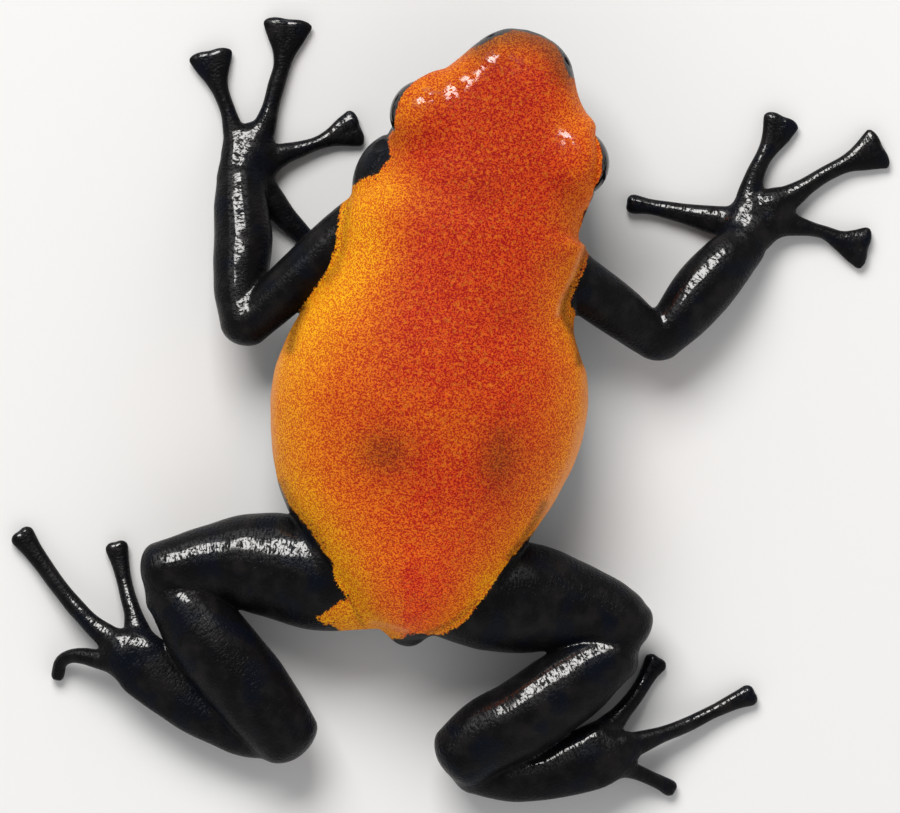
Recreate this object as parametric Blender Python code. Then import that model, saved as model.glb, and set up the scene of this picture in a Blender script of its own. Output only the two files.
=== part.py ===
"""Splash-backed poison frog, life size, lying spread on its belly with its head turned a little to its right.

All work is in millimetres, and each finished piece is brought to metres at the end.
A place is (right, ahead, up): towards the animal's right, towards its snout, and above the floor.
The snout points along -Y, the animal's right is -X, and the floor is Z = 0 under the middle of the belly.
"""

import math
from dataclasses import dataclass, fields, replace

import bmesh
import bpy
from mathutils import Matrix, Vector
from mathutils.bvhtree import BVHTree

METRES_PER_MM = 0.001
GAP = 0.3  # clear space between one named piece and the next
FLOOR_DEPTH = 5.0  # of the block that cuts the resting flats

HEAD_TURN = math.radians(8.0)  # of the head from the trunk, to the right
HEAD_MIDDLE = (0.75, 14.55)  # right and ahead of the point midway between the eyes
NECK_BEHIND_EYES = 3.7
NECK_UP = 6.0

EYE_RADIUS = 2.15
EYE_OUT = 4.78  # from the head's midline to the eye's centre
EYE_UP = 7.35
EYE_GAP = 0.2
EYE_LOOK = (math.radians(20), math.radians(-30))  # of the eye's axis from straight sideways: forwards and up
LID_RADIUS = 2.55
LID_SHIFT = (0.25, 0.15)  # of the lid's swelling from the eye: inwards and upwards
LID_EDGE = 0.85  # from the eye's centre to the plane of the lid's edge

MOUTH_UP_FRONT = 4.35
MOUTH_UP_CORNER = 3.75
MOUTH_CORNER_BEHIND_EYES = 2.4
MOUTH_FRONT_AHEAD_OF_EYES = 6.0  # where the lips reach their height at the front
MOUTH_GROOVE = 0.2  # radius of the groove between the lips
NOSTRIL_AHEAD_OF_EYES = 5.6
NOSTRIL_UP = 6.9
NOSTRIL_RADIUS = 0.32
EARDRUM_BEHIND_EYES = 2.85
EARDRUM_UP = 5.9
EARDRUM_RADIUS = 0.9
EARDRUM_DEPTH = 0.22

TRUNK_CAP = 0.08  # length of the rounded ends of the trunk
LIMB_CAP = 1.2
DIGIT_CAP = 0.45
ROUND_END = 1.0  # how fast a rounded end narrows: 1 for a half ball, and less for a blunter one
DIGIT_END = 0.6
LAST_RING = 0.35  # share of a step that a rounded end stops short of its very tip
BLOCK_SIDE = 60.0  # of a cutting block, which is wider than the animal
RAY_START = 20.0  # how far out a ray starts that looks for the head's skin

TRUNK_SIDES = 28
TRUNK_STEPS = 2  # rings from one given section of the trunk to the next
TRUNK_CAP_RINGS = 2
LIMB_SIDES = 12
LIMB_STEPS = 3
DIGIT_SIDES = 9
DIGIT_STEPS = 2
DIGIT_CAP_RINGS = 2
CAP_RINGS = 3
LIP_RINGS = 4  # round the tip of the snout
LIP_SIDES = 6
FINE_BALL = (20, 12)  # segments round, and rings from pole to pole
PLAIN_BALL = (16, 10)
SMALL_BALL = (10, 6)
CRISP_EDGE = math.radians(50)  # a sharper edge than this isn't shaded smooth

ORANGE_SKIN = ((0.80, 0.22, 0.03), 0.35)  # colour and roughness
BLACK_SKIN = ((0.012, 0.012, 0.014), 0.28)
EYE_BLACK = ((0.008, 0.007, 0.007), 0.05)


@dataclass
class Section:
    """One cross-section: its place, its half width, and how far it reaches above and below that place."""

    right: float
    ahead: float
    up: float
    wide: float
    rise: float
    drop: float
    square: float = 2.0  # 2 is an ellipse, and more is boxier
    heading: float = 0.0  # of a trunk section, clockwise from straight ahead as seen from above

    @property
    def centre(self):
        """The section's place in the row frame, in millimetres."""
        return row_point(self.right, self.ahead, self.up)

    def grown(self, by):
        """The same section, wider on every side."""
        return replace(self, wide=self.wide + by, rise=self.rise + by, drop=self.drop + by)

    def reach(self, share):
        """Half width at a share of the rise or the drop, from 0 at the middle to 1 at the top or bottom."""
        return self.wide * (1 - min(1.0, share) ** self.square) ** (1 / self.square)


def trunk_section(right, ahead, wide, low, widest, top, square=2.15, heading=0.0):
    """A section of the trunk, given by the heights of its belly, its widest part and its back."""
    return Section(right, ahead, widest, wide, top - widest, widest - low, square, heading)


def head_section(ahead_of_eyes, wide, low, widest, top, square=2.5):
    """A section of the head, which is set out along the head's own midline."""
    right, ahead = head_place(0.0, ahead_of_eyes)
    return trunk_section(right, ahead, wide, low, widest, top, square, HEAD_TURN)


def head_place(outwards, ahead_of_eyes):
    """Right and ahead of a point given along and across the head's own midline."""
    right = HEAD_MIDDLE[0] + outwards * math.cos(HEAD_TURN) + ahead_of_eyes * math.sin(HEAD_TURN)
    ahead = HEAD_MIDDLE[1] - outwards * math.sin(HEAD_TURN) + ahead_of_eyes * math.cos(HEAD_TURN)
    return right, ahead


def row_point(right, ahead, up):
    """A place as a point in the row frame, in millimetres."""
    return Vector((-right, -ahead, up))


def head_point(outwards, ahead_of_eyes, up):
    """A point in the row frame, given along and across the head's own midline."""
    return row_point(*head_place(outwards, ahead_of_eyes), up)


def limb(*stations):
    """Sections of a limb from (right, ahead, up, half width, half height)."""
    return [Section(r, a, u, wide, tall, tall) for r, a, u, wide, tall in stations]


# The trunk from vent to snout: right, ahead, half width, then the heights of its belly, widest part and back.
TRUNK = [
    trunk_section(0.25, -16.5, 0.7, 2.9, 3.6, 4.5),
    trunk_section(0.20, -16.1, 1.6, 2.2, 3.7, 5.8),
    trunk_section(0.05, -15.0, 3.3, 1.2, 3.8, 7.7),
    trunk_section(-0.25, -13.0, 5.2, 0.4, 4.0, 9.4),
    trunk_section(-0.60, -11.0, 6.6, 0.0, 4.2, 10.4),
    trunk_section(-0.88, -9.0, 7.75, -0.2, 4.3, 11.1),
    trunk_section(-0.82, -6.0, 8.95, -0.3, 4.5, 11.8),
    trunk_section(-0.70, -2.4, 9.62, -0.3, 4.7, 12.3),
    trunk_section(-0.60, 1.0, 9.2, -0.3, 4.8, 12.1),
    trunk_section(-0.60, 4.0, 7.9, -0.1, 4.9, 11.6),
    trunk_section(-0.50, 6.5, 7.35, 0.2, 5.0, 11.2),
    trunk_section(-0.30, 8.8, 7.55, 0.6, 5.1, 10.9),
    head_section(-4.2, 6.4, 1.0, 4.9, 10.5),
    head_section(-2.5, 6.35, 1.3, 4.7, 10.35),
    head_section(-1.0, 6.4, 1.6, 4.6, 10.2),
    head_section(0.6, 6.1, 1.8, 4.6, 10.05, 2.8),
    head_section(1.9, 5.2, 2.0, 4.7, 9.92, 3.4),
    head_section(3.0, 4.35, 2.3, 4.8, 9.8, 3.8),
    head_section(4.1, 3.65, 2.65, 5.0, 9.6, 3.8),
    head_section(5.1, 3.1, 3.05, 5.2, 9.15, 3.4),
    head_section(5.8, 2.62, 3.45, 5.3, 8.45, 2.9),
    head_section(6.35, 2.0, 3.9, 5.4, 7.55, 2.5),
    head_section(6.65, 1.4, 4.35, 5.4, 6.7, 2.1),
    head_section(6.8, 0.75, 4.85, 5.4, 6.0, 2.0),
]
JAW_SWELLING = (-4.9, 10.7, 4.7)  # the left corner of the jaw, pushed out where the arm reaches forward
JAW_RADII = (2.75, 3.3, 2.9)

ARMS = {
    "left": {
        "upper_arm": limb(
            (-5.6, 9.0, 5.0, 1.6, 1.7),
            (-7.4, 7.3, 4.9, 1.65, 1.8),
            (-9.2, 5.0, 4.5, 1.6, 1.75),
            (-11.0, 2.6, 4.1, 1.5, 1.6),
            (-12.4, 0.8, 3.8, 1.35, 1.45),
        ),
        "forearm": limb(
            (-12.8, 0.8, 3.8, 1.35, 1.4),
            (-13.3, 3.1, 3.15, 1.65, 1.6),
            (-13.6, 5.8, 2.4, 1.8, 1.7),
            (-14.1, 7.8, 1.9, 1.65, 1.45),
            (-14.4, 9.2, 1.5, 1.42, 1.15),
        ),
        "hand": limb(
            (-14.5, 9.5, 1.3, 1.35, 1.05),
            (-14.4, 10.5, 1.05, 1.4, 0.95),
            (-14.35, 11.3, 0.85, 1.25, 0.8),
            (-14.3, 11.8, 0.75, 0.9, 0.65),
        ),
        "fingers": [
            limb(
                (-13.4, 9.6, 0.9, 0.85, 0.65),
                (-12.4, 8.6, 0.72, 0.85, 0.6),
                (-11.5, 7.75, 0.6, 0.75, 0.55),
                (-10.6, 7.1, 0.5, 0.65, 0.5),
                (-9.7, 6.4, 0.42, 0.62, 0.45),
            ),
            limb(
                (-12.9, 10.9, 0.8, 0.95, 0.62),
                (-12.0, 11.45, 0.68, 0.68, 0.57),
                (-11.1, 11.9, 0.57, 0.5, 0.52),
                (-10.2, 12.4, 0.5, 0.44, 0.49),
                (-9.4, 12.9, 0.44, 0.6, 0.47),
                (-8.7, 13.35, 0.4, 0.95, 0.45),
                (-8.1, 13.7, 0.38, 1.22, 0.44),
            ),
            limb(
                (-13.9, 11.4, 0.85, 0.95, 0.65),
                (-13.55, 12.7, 0.72, 0.75, 0.58),
                (-13.4, 14.0, 0.6, 0.54, 0.53),
                (-13.25, 15.5, 0.5, 0.55, 0.5),
                (-13.12, 16.6, 0.45, 0.53, 0.48),
                (-13.12, 17.4, 0.42, 0.7, 0.46),
                (-13.15, 18.3, 0.4, 1.15, 0.45),
                (-13.2, 19.2, 0.38, 1.58, 0.44),
            ),
            limb(
                (-14.9, 11.2, 0.8, 0.85, 0.65),
                (-15.4, 12.3, 0.7, 0.65, 0.58),
                (-15.85, 13.3, 0.6, 0.5, 0.52),
                (-16.4, 14.3, 0.5, 0.5, 0.48),
                (-16.85, 15.1, 0.43, 0.72, 0.46),
                (-17.25, 15.9, 0.4, 1.15, 0.45),
                (-17.5, 16.5, 0.38, 1.42, 0.44),
            ),
        ],
    },
    "right": {
        "upper_arm": limb(
            (5.0, 7.8, 5.0, 1.6, 1.7),
            (7.0, 6.85, 4.7, 1.65, 1.8),
            (8.8, 5.95, 4.1, 1.65, 1.75),
            (10.6, 5.05, 3.3, 1.5, 1.6),
            (12.1, 4.25, 2.6, 1.35, 1.45),
        ),
        "forearm": limb(
            (12.6, 4.3, 2.5, 1.35, 1.4),
            (13.7, 6.1, 2.4, 1.7, 1.65),
            (14.7, 7.9, 2.2, 1.85, 1.7),
            (15.75, 9.6, 1.9, 1.7, 1.5),
            (16.5, 10.7, 1.5, 1.45, 1.15),
        ),
        "hand": limb(
            (16.6, 11.1, 1.3, 1.35, 1.05),
            (17.1, 12.0, 1.05, 1.45, 0.95),
            (17.5, 12.8, 0.85, 1.35, 0.8),
            (17.75, 13.3, 0.75, 0.95, 0.65),
        ),
        "fingers": [
            limb(
                (15.8, 12.1, 0.85, 0.95, 0.62),
                (14.6, 12.0, 0.72, 0.9, 0.6),
                (13.3, 12.05, 0.6, 0.72, 0.55),
                (11.8, 12.1, 0.5, 0.55, 0.5),
                (10.4, 12.12, 0.43, 0.5, 0.46),
                (9.5, 12.1, 0.4, 0.6, 0.44),
            ),
            limb(
                (16.5, 12.9, 0.85, 0.95, 0.65),
                (16.42, 14.0, 0.7, 0.82, 0.58),
                (16.5, 15.1, 0.58, 0.6, 0.53),
                (16.8, 16.2, 0.5, 0.52, 0.5),
                (17.1, 17.0, 0.43, 0.65, 0.47),
                (17.35, 17.8, 0.4, 0.93, 0.45),
                (17.52, 18.6, 0.38, 1.17, 0.44),
            ),
            limb(
                (17.9, 13.4, 0.85, 0.95, 0.65),
                (18.9, 14.2, 0.72, 0.8, 0.58),
                (19.8, 15.1, 0.6, 0.56, 0.54),
                (20.8, 16.0, 0.52, 0.51, 0.5),
                (21.9, 16.8, 0.45, 0.58, 0.47),
                (22.8, 17.4, 0.4, 0.95, 0.45),
                (23.6, 18.0, 0.38, 1.4, 0.44),
            ),
            limb(
                (18.2, 12.6, 0.85, 0.95, 0.65),
                (19.3, 12.55, 0.7, 0.72, 0.58),
                (20.5, 12.5, 0.56, 0.45, 0.51),
                (21.4, 12.4, 0.46, 0.45, 0.48),
                (22.3, 12.1, 0.42, 0.66, 0.46),
                (23.1, 11.95, 0.4, 1.05, 0.45),
                (23.75, 11.9, 0.38, 1.36, 0.44),
            ),
        ],
    },
}

LEGS = {
    "left": {
        "thigh": limb(
            (-1.5, -13.6, 3.9, 2.6, 2.6),
            (-5.0, -13.6, 3.7, 3.3, 3.0),
            (-8.0, -13.45, 3.35, 3.25, 2.9),
            (-10.0, -13.55, 3.15, 2.95, 2.6),
            (-12.0, -13.95, 3.05, 2.4, 2.25),
            (-14.0, -14.6, 3.1, 1.95, 1.9),
            (-15.1, -15.0, 3.0, 1.75, 1.75),
        ),
        "shank": limb(
            (-14.3, -16.3, 3.0, 1.6, 1.7),
            (-13.0, -17.2, 3.1, 2.15, 1.95),
            (-11.3, -18.7, 3.25, 2.5, 2.15),
            (-9.0, -20.65, 3.25, 2.5, 2.15),
            (-7.0, -22.4, 3.05, 2.3, 2.0),
            (-5.5, -23.7, 2.8, 1.95, 1.75),
        ),
        "foot": limb(
            (-6.6, -24.1, 1.9, 1.1, 1.2),
            (-8.3, -23.9, 2.0, 1.4, 1.2),
            (-10.5, -23.3, 2.1, 1.5, 1.1),
            (-13.0, -22.1, 2.2, 1.75, 1.0),
            (-15.1, -20.8, 2.2, 1.95, 0.9),
            (-16.3, -20.1, 2.1, 1.3, 0.75),
        ),
        "toes": [
            limb(
                (-13.0, -22.3, 2.0, 0.5, 0.5),
                (-13.6, -22.3, 1.2, 0.48, 0.5),
                (-14.5, -22.2, 0.5, 0.47, 0.48),
                (-15.3, -22.0, 0.4, 0.5, 0.46),
            ),
            limb(
                (-14.8, -21.1, 2.0, 0.55, 0.5),
                (-15.5, -21.1, 1.2, 0.5, 0.5),
                (-16.6, -20.9, 0.5, 0.48, 0.48),
                (-17.6, -20.5, 0.4, 0.52, 0.46),
            ),
            limb(
                (-16.5, -20.9, 2.1, 0.9, 0.6),
                (-17.8, -20.95, 1.75, 0.62, 0.55),
                (-18.8, -20.95, 1.4, 0.5, 0.5),
                (-19.6, -21.1, 1.05, 0.43, 0.47),
                (-20.1, -21.55, 0.75, 0.42, 0.46),
                (-20.15, -22.3, 0.45, 0.44, 0.45),
            ),
            limb(
                (-16.3, -20.2, 2.15, 0.95, 0.62),
                (-17.6, -19.5, 1.8, 0.78, 0.57),
                (-18.9, -18.75, 1.4, 0.6, 0.54),
                (-20.2, -17.75, 1.0, 0.55, 0.52),
                (-21.6, -16.5, 0.68, 0.53, 0.5),
                (-22.9, -15.2, 0.45, 0.6, 0.46),
                (-23.75, -14.4, 0.38, 0.8, 0.44),
            ),
            limb(
                (-15.2, -19.9, 2.1, 0.95, 0.62),
                (-15.9, -18.7, 1.65, 0.78, 0.57),
                (-16.3, -17.8, 1.25, 0.55, 0.53),
                (-16.75, -16.9, 0.9, 0.48, 0.5),
                (-17.2, -15.9, 0.6, 0.48, 0.48),
                (-17.6, -14.9, 0.45, 0.58, 0.46),
                (-17.95, -14.1, 0.38, 0.73, 0.44),
            ),
        ],
    },
    "right": {
        "thigh": limb(
            (1.5, -13.3, 3.9, 2.6, 2.6),
            (4.6, -13.1, 3.7, 3.25, 3.0),
            (7.0, -12.75, 3.35, 3.4, 2.9),
            (9.0, -12.65, 3.15, 3.05, 2.6),
            (11.0, -12.7, 3.05, 2.5, 2.25),
            (13.0, -13.05, 3.1, 2.0, 1.9),
            (13.8, -13.4, 3.0, 1.7, 1.75),
        ),
        "shank": limb(
            (13.3, -15.2, 3.0, 1.6, 1.7),
            (11.9, -16.3, 3.1, 2.15, 1.95),
            (10.3, -17.95, 3.25, 2.4, 2.15),
            (8.3, -19.9, 3.25, 2.4, 2.15),
            (6.4, -21.4, 3.05, 2.35, 2.0),
            (4.85, -23.0, 2.8, 2.0, 1.75),
        ),
        "foot": limb(
            (6.0, -24.0, 1.9, 1.1, 1.2),
            (8.0, -23.75, 2.0, 1.45, 1.2),
            (10.2, -23.1, 2.1, 1.65, 1.1),
            (12.2, -22.0, 2.2, 1.95, 1.0),
            (13.6, -21.3, 2.2, 1.85, 0.9),
            (14.5, -20.9, 2.1, 1.2, 0.75),
        ),
        "toes": [
            limb(
                (11.0, -23.0, 2.0, 0.5, 0.5),
                (11.6, -23.1, 1.2, 0.48, 0.5),
                (12.5, -22.95, 0.5, 0.47, 0.48),
                (13.3, -22.6, 0.4, 0.5, 0.46),
            ),
            limb(
                (12.6, -21.8, 2.0, 0.55, 0.5),
                (13.3, -21.9, 1.2, 0.5, 0.5),
                (14.3, -21.8, 0.5, 0.48, 0.48),
                (15.3, -21.6, 0.4, 0.52, 0.46),
            ),
            limb(
                (14.2, -21.7, 2.1, 0.9, 0.6),
                (15.3, -21.95, 1.6, 0.58, 0.54),
                (16.4, -22.2, 1.0, 0.45, 0.49),
                (17.3, -22.45, 0.55, 0.46, 0.46),
                (17.85, -22.65, 0.4, 0.53, 0.44),
            ),
            limb(
                (14.0, -21.1, 2.15, 0.95, 0.62),
                (15.3, -20.4, 1.8, 0.78, 0.57),
                (16.7, -19.6, 1.35, 0.52, 0.54),
                (18.1, -18.75, 0.95, 0.46, 0.5),
                (19.6, -17.7, 0.65, 0.46, 0.48),
                (20.9, -16.75, 0.45, 0.54, 0.46),
                (21.65, -16.25, 0.38, 0.7, 0.44),
            ),
            limb(
                (12.9, -20.6, 2.1, 0.95, 0.62),
                (13.6, -19.6, 1.7, 0.8, 0.57),
                (14.2, -18.6, 1.3, 0.58, 0.53),
                (14.75, -17.6, 0.95, 0.52, 0.5),
                (15.15, -16.7, 0.62, 0.52, 0.48),
                (15.45, -15.9, 0.45, 0.6, 0.46),
                (15.7, -15.3, 0.38, 0.76, 0.44),
            ),
        ],
    },
}


def numbers(section):
    """The section's values in the order of its fields."""
    return [getattr(section, field.name) for field in fields(section)]


def between(sections, per_span):
    """A smooth run of sections through the given ones, with per_span steps from each to the next."""
    rows = [numbers(s) for s in sections]
    places = [0.0]
    for a, b in zip(sections, sections[1:]):
        places.append(places[-1] + (b.centre - a.centre).length)
    slopes = []
    for i in range(len(rows)):
        before, after = max(i - 1, 0), min(i + 1, len(rows) - 1)
        span = places[after] - places[before]
        slopes.append([(q - p) / span for p, q in zip(rows[before], rows[after])])
    made = []
    for i in range(len(rows) - 1):
        span = places[i + 1] - places[i]
        for k in range(per_span):
            t = k / per_span
            start, end = (2 * t + 1) * (t - 1) ** 2, t * t * (3 - 2 * t)
            leave, arrive = t * (t - 1) ** 2 * span, t * t * (t - 1) * span
            values = zip(rows[i], slopes[i], rows[i + 1], slopes[i + 1])
            made.append(Section(*(start * p + leave * u + end * q + arrive * v for p, u, q, v in values)))
    return [*made, sections[-1]]


def capped(sections, cap_length, cap_rings, upright, end_shape=ROUND_END):
    """(section, its place, its forward direction) for each ring, with shrinking rings that round off both ends."""
    count = len(sections)
    rings = []
    for i, section in enumerate(sections):
        if upright:
            forward = Vector((-math.sin(section.heading), -math.cos(section.heading), 0.0))
        else:
            forward = sections[min(i + 1, count - 1)].centre - sections[max(i - 1, 0)].centre
        rings.append((section, section.centre, forward.normalized()))
    for end, sign in ((0, -1), (count - 1, 1)):
        section, place, forward = rings[end] if sign < 0 else rings[-1]
        extra = []
        for k in range(1, cap_rings + 1):
            turn = math.pi / 2 * k / (cap_rings + LAST_RING)
            shrink = math.cos(turn) ** end_shape
            smaller = replace(
                section, wide=section.wide * shrink, rise=section.rise * shrink, drop=section.drop * shrink
            )
            extra.append((smaller, place + forward * sign * cap_length * math.sin(turn), forward))
        rings = extra[::-1] + rings if sign < 0 else rings + extra
    return rings


def ring_points(section, place, forward, sides):
    """Points round one section, anticlockwise as seen from in front of it."""
    side = forward.cross(Vector((0, 0, 1))).normalized()
    over = side.cross(forward)
    power = 2 / section.square
    points = []
    for k in range(sides):
        turn = 2 * math.pi * (k + 0.5) / sides
        across, along = math.cos(turn), math.sin(turn)
        x = math.copysign(abs(across) ** power, across) * section.wide
        height = section.rise if along > 0 else section.drop
        z = math.copysign(abs(along) ** power, along) * height
        points.append(place + side * x + over * z)
    return points


def loft(
    name, sections, sides, per_span, cap_length, grow=0.0, cap_rings=CAP_RINGS, upright=False, end_shape=ROUND_END
):
    """A closed tube through the sections, with rounded ends. Grown, it is the space that its neighbours keep out of."""
    shapes = [s.grown(grow) for s in between(sections, per_span)]
    bm = bmesh.new()
    loops = []
    for section, place, forward in capped(shapes, cap_length + grow, cap_rings, upright, end_shape):
        loops.append([bm.verts.new(p) for p in ring_points(section, place, forward, sides)])
    for first, second in zip(loops, loops[1:]):
        for k in range(sides):
            following = (k + 1) % sides
            bm.faces.new((first[k], first[following], second[following], second[k]))
    for loop in (loops[0], loops[-1]):
        middle = bm.verts.new(sum((v.co for v in loop), Vector()) / sides)
        for k in range(sides):
            bm.faces.new((loop[k], loop[(k + 1) % sides], middle))
    bmesh.ops.recalc_face_normals(bm, faces=bm.faces)
    return mesh_object(name, bm)


def mesh_object(name, bm):
    """A new object in the scene that holds the finished mesh."""
    mesh = bpy.data.meshes.new(name)
    bm.to_mesh(mesh)
    bm.free()
    made = bpy.data.objects.new(name, mesh)
    bpy.context.scene.collection.objects.link(made)
    return made


def ball(name, centre, radii, steps=FINE_BALL, turn=0.0):
    """An ellipsoid with radii across, along and up, turned clockwise as seen from above."""
    bm = bmesh.new()
    bmesh.ops.create_uvsphere(bm, u_segments=steps[0], v_segments=steps[1], radius=1.0)
    size = Matrix.Diagonal([*radii, 1.0])
    bm.transform(Matrix.Translation(centre) @ Matrix.Rotation(-turn, 4, "Z") @ size)
    return mesh_object(name, bm)


def block(name, low, high):
    """A box between two corners in the row frame, in millimetres."""
    bm = bmesh.new()
    bmesh.ops.create_cube(bm, size=1.0)
    low, high = Vector(low), Vector(high)
    bm.transform(Matrix.Translation((low + high) / 2) @ Matrix.Diagonal([*(high - low), 1.0]))
    return mesh_object(name, bm)


def half_space(name, place, forward):
    """A large block in front of the plane through a place, which cuts away all that lies there."""
    made = block(name, (-BLOCK_SIDE, 0, -BLOCK_SIDE), (BLOCK_SIDE, BLOCK_SIDE, BLOCK_SIDE))
    turn = Vector(forward).to_track_quat("Y", "Z").to_matrix().to_4x4()
    made.data.transform(Matrix.Translation(Vector(place)) @ turn)
    return made


def combine(target, others, operation, keep_cutters=False):
    """Joins the others to the target, or cuts them out of it, and leaves only the largest closed surface."""
    for other in others:
        modifier = target.modifiers.new("combine", "BOOLEAN")
        modifier.operation = operation
        modifier.object = other
        modifier.solver = "EXACT"
    graph = bpy.context.evaluated_depsgraph_get()
    result = bpy.data.meshes.new_from_object(target.evaluated_get(graph))
    target.modifiers.clear()
    old = target.data
    target.data = result
    bpy.data.meshes.remove(old)
    if not keep_cutters:
        for other in others:
            bpy.data.objects.remove(other)
    keep_largest(target)


def keep_largest(target):
    """Drops every loose scrap and sealed hollow, so that a node is one closed body."""
    bm = bmesh.new()
    bm.from_mesh(target.data)
    unseen = set(bm.verts)
    shells = []
    while unseen:
        shell, edge = set(), [unseen.pop()]
        while edge:
            vertex = edge.pop()
            shell.add(vertex)
            for link in vertex.link_edges:
                other = link.other_vert(vertex)
                if other in unseen:
                    unseen.discard(other)
                    edge.append(other)
        shells.append(shell)
    largest = max(shells, key=len)
    bmesh.ops.delete(bm, geom=[v for v in bm.verts if v not in largest], context="VERTS")
    bm.to_mesh(target.data)
    bm.free()


def cut_floor(target):
    """Gives a piece that dips under the floor its resting flat."""
    lowest = min(v.co.z for v in target.data.vertices)
    if lowest < 0:
        floor = block("floor_cut", (-BLOCK_SIDE, -BLOCK_SIDE, -FLOOR_DEPTH), (BLOCK_SIDE, BLOCK_SIDE, 0))
        combine(target, [floor], "DIFFERENCE")


def material(name, look):
    """A plain material of its own, from its colour and roughness."""
    colour, roughness = look
    made = bpy.data.materials.new(name)
    made.use_nodes = True
    shader = made.node_tree.nodes["Principled BSDF"]
    shader.inputs["Base Color"].default_value = (*colour, 1.0)
    shader.inputs["Roughness"].default_value = roughness
    shader.inputs["Metallic"].default_value = 0.0
    return made


def finish(target, finish_material, collection, origin, parent=None):
    """Puts a node in the frog's collection, hung on its parent at its own origin, such as a limb's joint.

    It is cut flat at the floor, shaded smooth with its cut edges crisp, and brought to metres.
    """
    cut_floor(target)
    for owner in list(target.users_collection):
        owner.objects.unlink(target)
    collection.objects.link(target)
    target.data.transform(Matrix.Scale(METRES_PER_MM, 4) @ Matrix.Translation(-origin))
    target.parent = parent
    target.location = origin * METRES_PER_MM
    while parent:
        target.location -= parent.location
        parent = parent.parent
    target.data.materials.clear()
    target.data.materials.append(finish_material)
    target.data.shade_smooth()
    target.data.set_sharp_from_angle(angle=CRISP_EDGE)


def body_surface(section, place, forward, height, side):
    """The point of a trunk ring at a height, on its right (1) or left (-1), or None where the ring doesn't reach."""
    above = height - place.z
    span = section.rise if above > 0 else section.drop
    if abs(above) >= span:
        return None
    across = forward.cross(Vector((0, 0, 1))).normalized()
    return Vector((place.x, place.y, height)) + across * side * section.reach(abs(above) / span)


def trunk_rings(per_span):
    """The rings of the trunk, from the vent to the tip of the snout."""
    return capped(between(TRUNK, per_span), TRUNK_CAP, LIP_RINGS, upright=True)


def behind_eyes(place):
    """How far a point lies behind the line between the eyes, along the head's midline."""
    offset = Vector((-place.x - HEAD_MIDDLE[0], -place.y - HEAD_MIDDLE[1]))
    return -(offset.x * math.sin(HEAD_TURN) + offset.y * math.cos(HEAD_TURN))


def surface_spot(head, ahead_of_eyes, height, side):
    """Where the head's skin is met from one side, at a place along its midline and a height."""
    skin = BVHTree.FromPolygons([v.co for v in head.data.vertices], [p.vertices for p in head.data.polygons])
    start = head_point(side * RAY_START, ahead_of_eyes, height)
    return skin.ray_cast(start, head_point(0.0, ahead_of_eyes, height) - start)[0]


def mouth_line():
    """Sections of a groove along the lips, from the left corner of the mouth round the snout to the right corner."""
    sides = {}
    for side in (-1, 1):
        points = []
        for ring in trunk_rings(TRUNK_STEPS):
            behind = behind_eyes(ring[1])
            if behind > MOUTH_CORNER_BEHIND_EYES or ring[1].y > 0:
                continue
            share = (MOUTH_CORNER_BEHIND_EYES - behind) / (MOUTH_CORNER_BEHIND_EYES + MOUTH_FRONT_AHEAD_OF_EYES)
            height = MOUTH_UP_CORNER + (MOUTH_UP_FRONT - MOUTH_UP_CORNER) * min(1.0, share)
            spot = body_surface(*ring, height, side)
            if spot:
                points.append(Section(-spot.x, -spot.y, spot.z, MOUTH_GROOVE, MOUTH_GROOVE, MOUTH_GROOVE))
        sides[side] = points
    return sides[-1] + sides[1][::-1]


def make_trunk(name, grow=0.0):
    """The whole trunk and head, with the swelling at the left corner of the jaw."""
    trunk = loft(name, TRUNK, TRUNK_SIDES, TRUNK_STEPS, TRUNK_CAP, grow, TRUNK_CAP_RINGS, upright=True)
    swelling = ball("swelling", row_point(*JAW_SWELLING), [r + grow for r in JAW_RADII], PLAIN_BALL)
    combine(trunk, [swelling], "UNION")
    return trunk


def make_lid(side):
    """The swelling of skin round one eye, cut off at the edge of the lid."""
    lid = ball("lid", head_point(side * (EYE_OUT - LID_SHIFT[0]), 0.0, EYE_UP + LID_SHIFT[1]), [LID_RADIUS] * 3)
    forwards, upwards = EYE_LOOK
    out = side * math.cos(forwards) * math.cos(upwards)
    ahead = math.sin(forwards) * math.cos(upwards)
    look = head_point(out, ahead, math.sin(upwards)) - head_point(0.0, 0.0, 0.0)
    edge = head_point(side * EYE_OUT, 0.0, EYE_UP) + look * LID_EDGE
    combine(lid, [half_space("beyond_lid", edge, look)], "DIFFERENCE")
    return lid


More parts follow.
